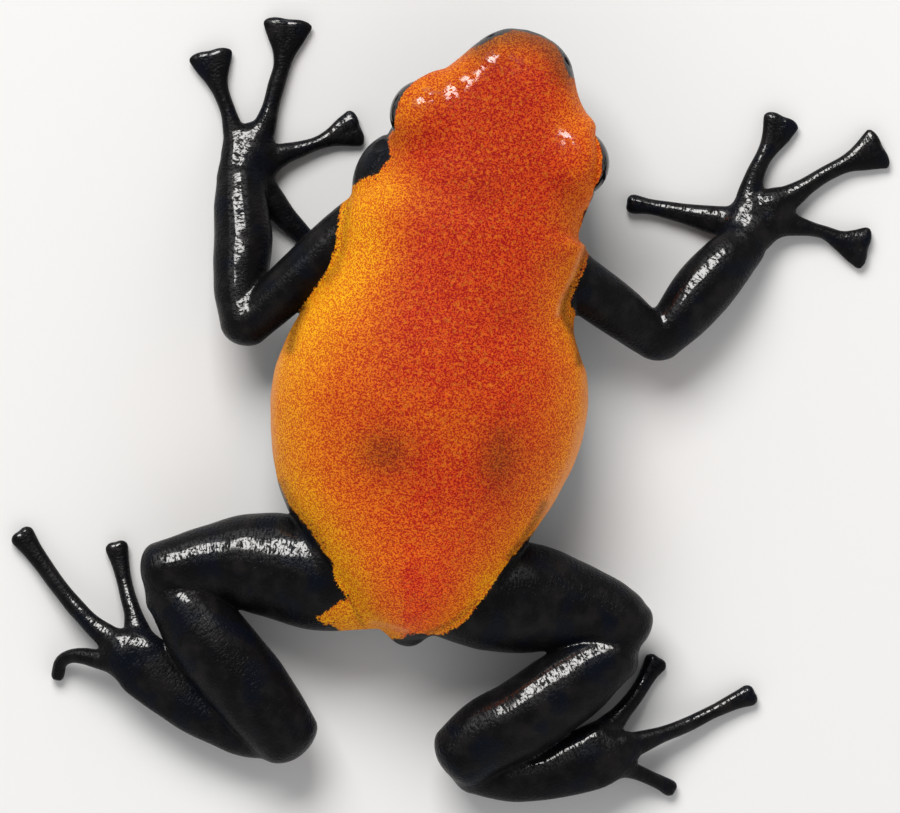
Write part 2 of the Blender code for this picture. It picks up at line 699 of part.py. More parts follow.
def make_head_and_torso():
    """The trunk parted at the neck, with the eye sockets, lids, mouth, nostrils and eardrums worked into the head."""
    neck = head_point(0.0, -NECK_BEHIND_EYES, 0.0)
    forward = Vector((-math.sin(HEAD_TURN), -math.cos(HEAD_TURN), 0.0))
    torso = make_trunk("torso")
    combine(torso, [half_space("ahead_of_neck", neck - forward * GAP / 2, forward)], "DIFFERENCE")
    head = make_trunk("head")
    combine(head, [half_space("behind_neck", neck + forward * GAP / 2, -forward)], "DIFFERENCE")
    lids, sockets, details = [], [], []
    for side in (-1, 1):
        lids.append(make_lid(side))
        sockets.append(ball("socket", head_point(side * EYE_OUT, 0.0, EYE_UP), [EYE_RADIUS + EYE_GAP] * 3))
        nostril = surface_spot(head, NOSTRIL_AHEAD_OF_EYES, NOSTRIL_UP, side)
        details.append(ball("nostril", nostril, [NOSTRIL_RADIUS] * 3, SMALL_BALL))
        drum = surface_spot(head, -EARDRUM_BEHIND_EYES, EARDRUM_UP, side)
        radii = (EARDRUM_DEPTH, EARDRUM_RADIUS, EARDRUM_RADIUS)
        details.append(ball("eardrum", drum, radii, PLAIN_BALL, HEAD_TURN))
    combine(head, lids, "UNION")
    combine(head, sockets, "DIFFERENCE")
    details.append(loft("mouth", mouth_line(), LIP_SIDES, 1, MOUTH_GROOVE))
    combine(head, details, "DIFFERENCE")
    return head, torso


def limb_part(name, sections, grow=0.0):
    """One segment of a limb, with ends as round as the segment is thick."""
    return loft(name, sections, LIMB_SIDES, LIMB_STEPS, LIMB_CAP, grow)


def digit(name, sections, grow=0.0):
    """A finger or toe, with a blunt end."""
    return loft(name, sections, DIGIT_SIDES, DIGIT_STEPS, DIGIT_CAP, grow, DIGIT_CAP_RINGS, end_shape=DIGIT_END)


def add_limb(side, names, digit_name, segments, digits, torso, finish_material, collection):
    """The pieces of one limb, each hung on the one before and cut back from all of them, which leaves clear gaps."""
    parent = torso
    earlier = [make_trunk("earlier", GAP)]
    for name in names:
        piece = limb_part(f"{name}_{side}", segments[name])
        combine(piece, earlier, "DIFFERENCE", keep_cutters=True)
        earlier.append(limb_part("earlier", segments[name], GAP))
        finish(piece, finish_material, collection, segments[name][0].centre, parent)
        parent = piece
    for number, sections in enumerate(digits, start=1):
        piece = digit(f"{digit_name}_{number}_{side}", sections)
        combine(piece, earlier, "DIFFERENCE", keep_cutters=True)
        earlier.append(digit("earlier", sections, GAP))
        finish(piece, finish_material, collection, sections[0].centre, parent)
    for cutter in earlier:
        bpy.data.objects.remove(cutter)


def main():
    """Clears the scene and builds the frog, from the trunk outwards."""
    for old in list(bpy.data.objects):
        bpy.data.objects.remove(old)
    frog = bpy.data.collections.new("splash_backed_poison_frog")
    bpy.context.scene.collection.children.link(frog)
    orange = material("orange_skin", ORANGE_SKIN)
    black = material("black_skin", BLACK_SKIN)
    eye_black = material("eye", EYE_BLACK)

    head, torso = make_head_and_torso()
    finish(torso, orange, frog, Vector())
    finish(head, orange, frog, head_point(0.0, -NECK_BEHIND_EYES, NECK_UP), torso)
    for side, name in ((-1, "eye_left"), (1, "eye_right")):
        centre = head_point(side * EYE_OUT, 0.0, EYE_UP)
        finish(ball(name, centre, [EYE_RADIUS] * 3), eye_black, frog, centre, head)
    for side in ("left", "right"):
        arm, leg = ARMS[side], LEGS[side]
        add_limb(side, ("upper_arm", "forearm", "hand"), "finger", arm, arm["fingers"], torso, black, frog)
        add_limb(side, ("thigh", "shank", "foot"), "toe", leg, leg["toes"], torso, black, frog)


main()
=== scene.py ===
"""The looks of a life-size splash-backed poison frog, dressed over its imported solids.

The flesh is worked in millimetres and brought to metres when its mesh is made. A place is
(right, ahead, up): towards the animal's right, towards its snout and above the floor. As in the solids,
the snout points along -Y, the animal's right side is -X, and the floor is Z = 0.
"""

import logging
import math
from abc import ABC, abstractmethod
from dataclasses import dataclass
from enum import Enum
from typing import Any, Sequence

import bmesh
import bpy
import numpy as np
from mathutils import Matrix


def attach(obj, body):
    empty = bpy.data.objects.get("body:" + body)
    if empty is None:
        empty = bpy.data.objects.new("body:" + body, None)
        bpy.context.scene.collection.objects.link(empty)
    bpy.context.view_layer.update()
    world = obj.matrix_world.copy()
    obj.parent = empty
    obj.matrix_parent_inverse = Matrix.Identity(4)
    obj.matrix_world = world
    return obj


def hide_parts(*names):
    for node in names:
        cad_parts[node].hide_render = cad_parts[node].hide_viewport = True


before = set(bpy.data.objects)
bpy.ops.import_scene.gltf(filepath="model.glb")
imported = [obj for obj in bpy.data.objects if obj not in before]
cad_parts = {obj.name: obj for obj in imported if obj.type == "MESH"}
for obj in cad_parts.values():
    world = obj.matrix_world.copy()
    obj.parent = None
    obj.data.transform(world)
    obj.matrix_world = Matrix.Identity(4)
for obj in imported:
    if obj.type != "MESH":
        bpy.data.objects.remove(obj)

import openvdb
from mathutils import Matrix, Vector

log = logging.getLogger("frog")
Array = np.ndarray
Colour = tuple[float, float, float]
METRES_PER_MM = 0.001

HEAD_TURN = math.radians(8.0)  # of the head from the trunk, to the right
HEAD_MIDDLE = (0.75, 14.55)  # right and ahead of the point midway between the eyes
EYE_RADIUS = 2.15
EYE_GAP = 0.08
EYE_OUT = 4.78  # from the head's midline to the eye's centre
EYE_UP = 7.35
EYE_LOOK = (math.radians(20), math.radians(-30))  # of the eye's axis from straight sideways: forwards and up
LID_RADIUS = 2.5
LID_SHIFT = (0.25, 0.15)  # of the lid's swelling from the eye: inwards and upwards
LID_EDGE = 0.85  # from the eye's centre to the plane of the lid's edge
JAW_SWELLING = (-4.9, 10.7, 4.7)
JAW_RADII = (2.75, 3.3, 2.9)


class Side(Enum):
    """One side of the animal, as the sign of its direction to the right."""

    LEFT = -1
    RIGHT = 1


def row_place(right: Any, ahead: Any, up: Any) -> Array:
    """Turns places of the animal into row-frame points, in millimetres.

    Args:
        right: Distance to the animal's right, a number or an array.
        ahead: Distance towards its snout.
        up: Height above the floor.

    Returns:
        Array whose last axis holds x, y and z.
    """
    return np.stack(np.broadcast_arrays(-np.asarray(right, float), -np.asarray(ahead, float), up), axis=-1)


def head_place(outwards: float, ahead_of_eyes: float) -> tuple[float, float]:
    """Finds a plan point that is given along and across the head's own midline.

    Args:
        outwards: Distance to the right of the head's midline.
        ahead_of_eyes: Distance ahead of the line between the eyes.

    Returns:
        Its distance to the animal's right and towards its snout.
    """
    turn, lean = math.cos(HEAD_TURN), math.sin(HEAD_TURN)
    right = HEAD_MIDDLE[0] + outwards * turn + ahead_of_eyes * lean
    return right, HEAD_MIDDLE[1] - outwards * lean + ahead_of_eyes * turn


@dataclass(frozen=True)
class Section:
    """One cross-section: its place, its half width, and how far it reaches above and below that place."""

    right: float
    ahead: float
    up: float
    wide: float
    rise: float
    drop: float
    square: float = 2.0
    heading: float = 0.0

    def numbers(self) -> list[float]:
        """The section's values in the order of its fields."""
        return [self.right, self.ahead, self.up, self.wide, self.rise, self.drop, self.square, self.heading]


def trunk_section(
    right: float, ahead: float, wide: float, low: float, widest: float, top: float,
    square: float = 2.15, heading: float = 0.0,
) -> Section:
    """Makes a section of the trunk from the heights of its belly, widest part and back.

    Args:
        right: Place of its middle, towards the animal's right.
        ahead: Place of its middle, towards the snout.
        wide: Half width.
        low: Height of the belly.
        widest: Height at which it is widest.
        top: Height of the back.
        square: 2 for an ellipse, and more for a boxier outline.
        heading: Turn of the section to the right.

    Returns:
        The section.
    """
    return Section(right, ahead, widest, wide, top - widest, widest - low, square, heading)


def head_section(
    ahead_of_eyes: float, wide: float, low: float, widest: float, top: float, square: float = 2.5
) -> Section:
    """Makes a section of the head, which is set out along the head's own midline.

    Args:
        ahead_of_eyes: Place along the midline, from the line between the eyes.
        wide: Half width.
        low: Height of the throat.
        widest: Height at which it is widest.
        top: Height of the crown.
        square: 2 for an ellipse, and more for a boxier outline.

    Returns:
        The section.
    """
    right, ahead = head_place(0.0, ahead_of_eyes)
    return trunk_section(right, ahead, wide, low, widest, top, square, HEAD_TURN)


def limb(*stations: tuple[float, float, float, float, float]) -> list[Section]:
    """Makes sections of a limb from (right, ahead, up, half width, half height)."""
    return [Section(r, a, u, wide, tall, tall) for r, a, u, wide, tall in stations]


@dataclass(frozen=True)
class LimbForm:
    """The sections of one limb, and where and how widely it flows into the trunk."""

    root: tuple[float, float, float]
    root_reach: float
    upper: list[Section]
    lower: list[Section]
    end: list[Section]
    digits: list[list[Section]]


# The trunk from vent to snout: right, ahead, half width, then the heights of its belly, widest part and back.
TRUNK: list[Section] = [
    trunk_section(0.25, -16.5, 0.7, 2.9, 3.6, 4.5),
    trunk_section(0.20, -16.1, 1.6, 2.2, 3.7, 5.8),
    trunk_section(0.05, -15.0, 3.3, 1.2, 3.8, 7.7),
    trunk_section(-0.25, -13.0, 5.2, 0.4, 4.0, 9.4),
    trunk_section(-0.60, -11.0, 6.6, 0.0, 4.2, 10.4),
    trunk_section(-0.88, -9.0, 7.75, -0.2, 4.3, 11.1),
    trunk_section(-0.82, -6.0, 8.95, -0.3, 4.5, 11.8),
    trunk_section(-0.70, -2.4, 9.62, -0.3, 4.7, 12.3),
    trunk_section(-0.60, 1.0, 9.2, -0.3, 4.8, 12.1),
    trunk_section(-0.60, 4.0, 7.9, -0.1, 4.9, 11.6),
    trunk_section(-0.50, 6.5, 7.35, 0.2, 5.0, 11.2),
    trunk_section(-0.30, 8.8, 7.55, 0.6, 5.1, 10.9),
    head_section(-4.2, 6.4, 1.0, 4.9, 10.5),
    head_section(-2.5, 6.35, 1.3, 4.7, 10.35),
    head_section(-1.0, 6.4, 1.6, 4.6, 10.2),
    head_section(0.6, 6.1, 1.8, 4.6, 10.05, 2.8),
    head_section(1.9, 5.2, 2.0, 4.7, 9.92, 3.4),
    head_section(3.0, 4.35, 2.3, 4.8, 9.8, 3.8),
    head_section(4.1, 3.65, 2.65, 5.0, 9.6, 3.8),
    head_section(5.1, 3.1, 3.05, 5.2, 9.15, 3.4),
    head_section(5.8, 2.62, 3.45, 5.3, 8.45, 2.9),
    head_section(6.35, 2.0, 3.9, 5.4, 7.55, 2.5),
    head_section(6.65, 1.4, 4.35, 5.4, 6.7, 2.1),
    head_section(6.8, 0.75, 4.85, 5.4, 6.0, 2.0),
]

ARMS: dict[Side, LimbForm] = {
    Side.LEFT: LimbForm(
        root=(-7.5, 7.2, 4.8),
        root_reach=4.0,
        upper=limb(
            (-5.6, 9.0, 5.0, 1.6, 1.7),
            (-7.4, 7.3, 4.9, 1.65, 1.8),
            (-9.2, 5.0, 4.5, 1.6, 1.75),
            (-11.0, 2.6, 4.1, 1.5, 1.6),
            (-12.4, 0.8, 3.8, 1.35, 1.45),
        ),
        lower=limb(
            (-12.8, 0.8, 3.8, 1.35, 1.4),
            (-13.3, 3.1, 3.15, 1.65, 1.6),
            (-13.6, 5.8, 2.4, 1.8, 1.7),
            (-14.1, 7.8, 1.9, 1.65, 1.45),
            (-14.4, 9.2, 1.5, 1.42, 1.15),
        ),
        end=limb(
            (-14.5, 9.5, 1.3, 1.35, 1.05),
            (-14.4, 10.5, 1.05, 1.4, 0.95),
            (-14.35, 11.3, 0.85, 1.25, 0.8),
            (-14.3, 11.8, 0.75, 0.9, 0.65),
        ),
        digits=[
            limb(
                (-13.4, 9.6, 0.9, 0.85, 0.65),
                (-12.4, 8.6, 0.72, 0.85, 0.6),
                (-11.5, 7.75, 0.6, 0.75, 0.55),
                (-10.6, 7.1, 0.5, 0.65, 0.5),
                (-9.7, 6.4, 0.42, 0.62, 0.45),
            ),
            limb(
                (-12.9, 10.9, 0.8, 0.95, 0.62),
                (-12.0, 11.45, 0.68, 0.68, 0.57),
                (-11.1, 11.9, 0.57, 0.5, 0.52),
                (-10.2, 12.4, 0.5, 0.44, 0.49),
                (-9.4, 12.9, 0.44, 0.6, 0.47),
                (-8.7, 13.35, 0.4, 0.95, 0.45),
                (-8.1, 13.7, 0.38, 1.22, 0.44),
            ),
            limb(
                (-13.9, 11.4, 0.85, 0.95, 0.65),
                (-13.55, 12.7, 0.72, 0.75, 0.58),
                (-13.4, 14.0, 0.6, 0.54, 0.53),
                (-13.25, 15.5, 0.5, 0.55, 0.5),
                (-13.12, 16.6, 0.45, 0.53, 0.48),
                (-13.12, 17.4, 0.42, 0.7, 0.46),
                (-13.15, 18.3, 0.4, 1.15, 0.45),
                (-13.2, 19.2, 0.38, 1.58, 0.44),
            ),
            limb(
                (-14.9, 11.2, 0.8, 0.85, 0.65),
                (-15.4, 12.3, 0.7, 0.65, 0.58),
                (-15.85, 13.3, 0.6, 0.5, 0.52),
                (-16.4, 14.3, 0.5, 0.5, 0.48),
                (-16.85, 15.1, 0.43, 0.72, 0.46),
                (-17.25, 15.9, 0.4, 1.15, 0.45),
                (-17.5, 16.5, 0.38, 1.42, 0.44),
            ),
        ],
    ),
    Side.RIGHT: LimbForm(
        root=(7.1, 6.8, 4.7),
        root_reach=4.0,
        upper=limb(
            (5.0, 7.8, 5.0, 1.6, 1.7),
            (7.0, 6.85, 4.7, 1.65, 1.8),
            (8.8, 5.95, 4.1, 1.65, 1.75),
            (10.6, 5.05, 3.3, 1.5, 1.6),
            (12.1, 4.25, 2.6, 1.35, 1.45),
        ),
        lower=limb(
            (12.6, 4.3, 2.5, 1.35, 1.4),
            (13.7, 6.1, 2.4, 1.7, 1.65),
            (14.7, 7.9, 2.2, 1.85, 1.7),
            (15.75, 9.6, 1.9, 1.7, 1.5),
            (16.5, 10.7, 1.5, 1.45, 1.15),
        ),
        end=limb(
            (16.6, 11.1, 1.3, 1.35, 1.05),
            (17.1, 12.0, 1.05, 1.45, 0.95),
            (17.5, 12.8, 0.85, 1.35, 0.8),
            (17.75, 13.3, 0.75, 0.95, 0.65),
        ),
        digits=[
            limb(
                (15.8, 12.1, 0.85, 0.95, 0.62),
                (14.6, 12.0, 0.72, 0.9, 0.6),
                (13.3, 12.05, 0.6, 0.72, 0.55),
                (11.8, 12.1, 0.5, 0.55, 0.5),
                (10.4, 12.12, 0.43, 0.5, 0.46),
                (9.5, 12.1, 0.4, 0.6, 0.44),
            ),
            limb(
                (16.5, 12.9, 0.85, 0.95, 0.65),
                (16.42, 14.0, 0.7, 0.82, 0.58),
                (16.5, 15.1, 0.58, 0.6, 0.53),
                (16.8, 16.2, 0.5, 0.52, 0.5),
                (17.1, 17.0, 0.43, 0.65, 0.47),
                (17.35, 17.8, 0.4, 0.93, 0.45),
                (17.52, 18.6, 0.38, 1.17, 0.44),
            ),
            limb(
                (17.9, 13.4, 0.85, 0.95, 0.65),
                (18.9, 14.2, 0.72, 0.8, 0.58),
                (19.8, 15.1, 0.6, 0.56, 0.54),
                (20.8, 16.0, 0.52, 0.51, 0.5),
                (21.9, 16.8, 0.45, 0.58, 0.47),
                (22.8, 17.4, 0.4, 0.95, 0.45),
                (23.6, 18.0, 0.38, 1.4, 0.44),
            ),
            limb(
                (18.2, 12.6, 0.85, 0.95, 0.65),
                (19.3, 12.55, 0.7, 0.72, 0.58),
                (20.5, 12.5, 0.56, 0.45, 0.51),
                (21.4, 12.4, 0.46, 0.45, 0.48),
                (22.3, 12.1, 0.42, 0.66, 0.46),
                (23.1, 11.95, 0.4, 1.05, 0.45),
                (23.75, 11.9, 0.38, 1.36, 0.44),
            ),
        ],
    ),
}

LEGS: dict[Side, LimbForm] = {
    Side.LEFT: LimbForm(
        root=(-4.6, -13.2, 5.0),
        root_reach=5.0,
        upper=limb(
            (-1.5, -13.6, 3.9, 2.6, 2.6),
            (-5.0, -13.6, 3.7, 3.3, 3.0),
            (-8.0, -13.45, 3.35, 3.25, 2.9),
            (-10.0, -13.55, 3.15, 2.95, 2.6),
            (-12.0, -13.95, 3.05, 2.4, 2.25),
            (-14.0, -14.6, 3.1, 1.95, 1.9),
            (-15.1, -15.0, 3.0, 1.75, 1.75),
        ),
        lower=limb(
            (-14.3, -16.3, 3.0, 1.6, 1.7),
            (-13.0, -17.2, 3.1, 2.15, 1.95),
            (-11.3, -18.7, 3.25, 2.5, 2.15),
            (-9.0, -20.65, 3.25, 2.5, 2.15),
            (-7.0, -22.4, 3.05, 2.3, 2.0),
            (-5.5, -23.7, 2.8, 1.95, 1.75),
        ),
        end=limb(
            (-6.6, -24.1, 1.9, 1.1, 1.2),
            (-8.3, -23.9, 2.0, 1.4, 1.2),
            (-10.5, -23.3, 2.1, 1.5, 1.1),
            (-13.0, -22.1, 2.2, 1.75, 1.0),
            (-15.1, -20.8, 2.2, 1.95, 0.9),
            (-16.3, -20.1, 2.1, 1.3, 0.75),
        ),
        digits=[
            limb(
                (-13.0, -22.3, 2.0, 0.5, 0.5),
                (-13.6, -22.3, 1.2, 0.48, 0.5),
                (-14.5, -22.2, 0.5, 0.47, 0.48),
                (-15.3, -22.0, 0.4, 0.5, 0.46),
            ),
            limb(
                (-14.8, -21.1, 2.0, 0.55, 0.5),
                (-15.5, -21.1, 1.2, 0.5, 0.5),
                (-16.6, -20.9, 0.5, 0.48, 0.48),
                (-17.6, -20.5, 0.4, 0.52, 0.46),
            ),
            limb(
                (-16.5, -20.9, 2.1, 0.9, 0.6),
                (-17.8, -20.95, 1.75, 0.62, 0.55),
                (-18.8, -20.95, 1.4, 0.5, 0.5),
                (-19.6, -21.1, 1.05, 0.43, 0.47),
                (-20.1, -21.55, 0.75, 0.42, 0.46),
                (-20.15, -22.3, 0.45, 0.44, 0.45),
            ),
            limb(
                (-16.3, -20.2, 2.15, 0.95, 0.62),
                (-17.6, -19.5, 1.8, 0.78, 0.57),
                (-18.9, -18.75, 1.4, 0.6, 0.54),
                (-20.2, -17.75, 1.0, 0.55, 0.52),
                (-21.6, -16.5, 0.68, 0.53, 0.5),
                (-22.9, -15.2, 0.45, 0.6, 0.46),
                (-23.75, -14.4, 0.38, 0.8, 0.44),
            ),
            limb(
                (-15.2, -19.9, 2.1, 0.95, 0.62),
                (-15.9, -18.7, 1.65, 0.78, 0.57),
                (-16.3, -17.8, 1.25, 0.55, 0.53),
                (-16.75, -16.9, 0.9, 0.48, 0.5),
                (-17.2, -15.9, 0.6, 0.48, 0.48),
                (-17.6, -14.9, 0.45, 0.58, 0.46),
                (-17.95, -14.1, 0.38, 0.73, 0.44),
            ),
        ],
    ),
    Side.RIGHT: LimbForm(
        root=(4.2, -12.8, 5.0),
        root_reach=5.0,
        upper=limb(
            (1.5, -13.3, 3.9, 2.6, 2.6),
            (4.6, -13.1, 3.7, 3.25, 3.0),
            (7.0, -12.75, 3.35, 3.4, 2.9),
            (9.0, -12.65, 3.15, 3.05, 2.6),
            (11.0, -12.7, 3.05, 2.5, 2.25),
            (13.0, -13.05, 3.1, 2.0, 1.9),
            (13.8, -13.4, 3.0, 1.7, 1.75),
        ),
        lower=limb(
            (13.3, -15.2, 3.0, 1.6, 1.7),
            (11.9, -16.3, 3.1, 2.15, 1.95),
            (10.3, -17.95, 3.25, 2.4, 2.15),
            (8.3, -19.9, 3.25, 2.4, 2.15),
            (6.4, -21.4, 3.05, 2.35, 2.0),
            (4.85, -23.0, 2.8, 2.0, 1.75),
        ),
        end=limb(
            (6.0, -24.0, 1.9, 1.1, 1.2),
            (8.0, -23.75, 2.0, 1.45, 1.2),
            (10.2, -23.1, 2.1, 1.65, 1.1),
            (12.2, -22.0, 2.2, 1.95, 1.0),
            (13.6, -21.3, 2.2, 1.85, 0.9),
            (14.5, -20.9, 2.1, 1.2, 0.75),
        ),
        digits=[
            limb(
                (11.0, -23.0, 2.0, 0.5, 0.5),
                (11.6, -23.1, 1.2, 0.48, 0.5),
                (12.5, -22.95, 0.5, 0.47, 0.48),
                (13.3, -22.6, 0.4, 0.5, 0.46),
            ),
            limb(
                (12.6, -21.8, 2.0, 0.55, 0.5),
                (13.3, -21.9, 1.2, 0.5, 0.5),
                (14.3, -21.8, 0.5, 0.48, 0.48),
                (15.3, -21.6, 0.4, 0.52, 0.46),
            ),
            limb(
                (14.2, -21.7, 2.1, 0.9, 0.6),
                (15.3, -21.95, 1.6, 0.58, 0.54),
                (16.4, -22.2, 1.0, 0.45, 0.49),
                (17.3, -22.45, 0.55, 0.46, 0.46),
                (17.85, -22.65, 0.4, 0.53, 0.44),
            ),
            limb(
                (14.0, -21.1, 2.15, 0.95, 0.62),
                (15.3, -20.4, 1.8, 0.78, 0.57),
                (16.7, -19.6, 1.35, 0.52, 0.54),
                (18.1, -18.75, 0.95, 0.46, 0.5),
                (19.6, -17.7, 0.65, 0.46, 0.48),
                (20.9, -16.75, 0.45, 0.54, 0.46),
                (21.65, -16.25, 0.38, 0.7, 0.44),
            ),
            limb(
                (12.9, -20.6, 2.1, 0.95, 0.62),
                (13.6, -19.6, 1.7, 0.8, 0.57),
                (14.2, -18.6, 1.3, 0.58, 0.53),
                (14.75, -17.6, 0.95, 0.52, 0.5),
                (15.15, -16.7, 0.62, 0.52, 0.48),
                (15.45, -15.9, 0.45, 0.6, 0.46),
                (15.7, -15.3, 0.38, 0.76, 0.44),
            ),
        ],
    ),
}

CREASE = 0.07  # width of the blend where flesh only touches flesh
VOXEL = 0.12
BAND = 1.5  # how far from a surface its distances are kept
TRUNK_CAP = 0.08  # length of the rounded ends of the trunk
LIMB_CAP = 1.2
DIGIT_CAP = 0.45
ROUND_END = 1.0  # how fast a rounded end narrows: 1 for a half ball, and less for a blunter one
DIGIT_END = 0.6
TINY = 1e-9  # the least length that anything is divided by


@dataclass(frozen=True)
class Window:
    """A box of cells inside the clay, by the numbers of its first cell and its size in cells."""

    start: tuple[int, int, int]
    size: tuple[int, int, int]

    def axes(self) -> list[Array]:
        """The places of the cells along each axis, shaped so that they combine into a block."""
        lines = [(np.arange(count) + first) * VOXEL for first, count in zip(self.start, self.size)]
        return [lines[0][:, None, None], lines[1][None, :, None], lines[2][None, None, :]]

    def away_from(self, place: Array) -> Array:
        """How far each cell is from a place."""
        return np.sqrt(sum((axis - value) ** 2 for axis, value in zip(self.axes(), place)))


def ease(value: Array) -> Array:
    """A smooth step from 0 to 1 as the value goes from 0 to 1."""
    value = np.clip(value, 0.0, 1.0)
    return value * value * (3.0 - 2.0 * value)


@dataclass(frozen=True)
class Blend:
    """How softly a new form flows into the flesh: widest at a place, and only a crease beyond its reach."""

    width: float = CREASE
    place: tuple[float, float, float] | None = None
    reach: float = 1.0

    def widths(self, window: Window) -> Array:
        """Works out the blend's width in each cell.

        Args:
            window: The cells that are asked about.

        Returns:
            The widths, in millimetres.
        """
        if self.place is None:
            return np.float32(self.width)
        near = ease(1.0 - window.away_from(row_place(*self.place)) / self.reach)
        return CREASE + (self.width - CREASE) * near


class Form(ABC):
    """Something solid that is joined to the clay or cut out of it."""

    @abstractmethod
    def box(self) -> tuple[Array, Array]:
        """The lowest and highest corners."""

    @abstractmethod
    def distances(self, window: Window) -> Array:
        """How far each cell lies outside the form, and less than 0 inside it."""


class Ball(Form):
    """An ellipsoid, turned about the vertical like the head where it belongs to it."""

    def __init__(self, place: Sequence[float], radii: Sequence[float], turn: float = 0.0) -> None:
        """Sets the ball in its place.

        Args:
            place: Its middle, as (right, ahead, up).
            radii: Its radii across, along and up.
            turn: Turn to the right, as seen from above.
        """
        self.middle = row_place(*place)
        self.radii = np.array(radii, float)
        self.turn = turn

    def box(self) -> tuple[Array, Array]:
        """The lowest and highest corners."""
        return self.middle - self.radii.max(), self.middle + self.radii.max()

    def distances(self, window: Window) -> Array:
        """Finds a close guess at the distance to the ellipsoid.

        Args:
            window: The cells that are asked about.

        Returns:
            The distances, in millimetres.
        """
        x, y, z = (axis - value for axis, value in zip(window.axes(), self.middle))
        across = x * math.cos(self.turn) - y * math.sin(self.turn)
        along = x * math.sin(self.turn) + y * math.cos(self.turn)
        parts = (across, along, z)
        near = np.sqrt(sum((part / radius) ** 2 for part, radius in zip(parts, self.radii)))
        slope = np.sqrt(sum((part / radius**2) ** 2 for part, radius in zip(parts, self.radii)))
        return near * (near - 1.0) / np.maximum(slope, TINY)


class Lid(Form):
    """The swelling of skin over one eye, cut off along the edge of the lid."""

    def __init__(self, side: Side) -> None:
        """Sets the swelling and the plane of its edge.

        Args:
            side: The side of the head.
        """
        right, ahead = head_place(side.value * (EYE_OUT - LID_SHIFT[0]), 0.0)
        self.swelling = Ball((right, ahead, EYE_UP + LID_SHIFT[1]), [LID_RADIUS] * 3)
        forwards, upwards = EYE_LOOK
        start = np.array(head_place(0.0, 0.0))
        out = side.value * math.cos(forwards) * math.cos(upwards)
        end = np.array(head_place(out, math.sin(forwards) * math.cos(upwards)))
        step = end - start
        self.look = np.array([-step[0], -step[1], math.sin(upwards)])
        self.edge = row_place(*head_place(side.value * EYE_OUT, 0.0), EYE_UP) + self.look * LID_EDGE

    def box(self) -> tuple[Array, Array]:
        """The lowest and highest corners."""
        return self.swelling.box()

    def distances(self, window: Window) -> Array:
        """Cuts the swelling off at the lid's edge.

        Args:
            window: The cells that are asked about.

        Returns:
            The distances, in millimetres.
        """
        plane = sum((axis - value) * part for axis, value, part in zip(window.axes(), self.edge, self.look))
        return -smooth_least(-self.swelling.distances(window), -plane, LID_EDGE_SOFTNESS)


def smooth_least(first: Array, second: Array, width: Any) -> Array:
    """Takes the smaller of two distances, rounding the crease where they cross.

    Args:
        first: One distance.
        second: The other.
        width: Width of the rounding.

    Returns:
        The blended distance.
    """
    near = np.maximum(width - np.abs(first - second), 0.0) / width
    return np.minimum(first, second) - near * near * width * 0.25


# Columns of a run of sections, in the order of a section's fields.
PLACE = slice(0, 3)
SIZES = slice(3, 6)
WIDE = 3
RISE = 4
SQUARE = 6
HEADING = 7


def smooth_run(sections: Sequence[Section], per_span: int) -> Array:
    """Draws a smooth run of sections through the given ones.

    Args:
        sections: The given sections.
        per_span: Steps from each to the next.

    Returns:
        One row of a section's values for each step.
    """
    rows = np.array([section.numbers() for section in sections])
    middles = row_place(*rows[:, PLACE].T)
    spans = np.linalg.norm(np.diff(middles, axis=0), axis=1)
    places = np.concatenate([[0.0], np.cumsum(spans)])
    before = np.maximum(np.arange(len(rows)) - 1, 0)
    after = np.minimum(np.arange(len(rows)) + 1, len(rows) - 1)
    slopes = (rows[after] - rows[before]) / (places[after] - places[before])[:, None]
    t = (np.arange(per_span) / per_span)[:, None]
    runs = []
    for i, span in enumerate(spans):
        start = (2 * t + 1) * (t - 1) ** 2 * rows[i] + t * (t - 1) ** 2 * span * slopes[i]
        end = t * t * (3 - 2 * t) * rows[i + 1] + t * t * (t - 1) * span * slopes[i + 1]
        runs.append(start + end)
    return np.concatenate([*runs, rows[-1:]])


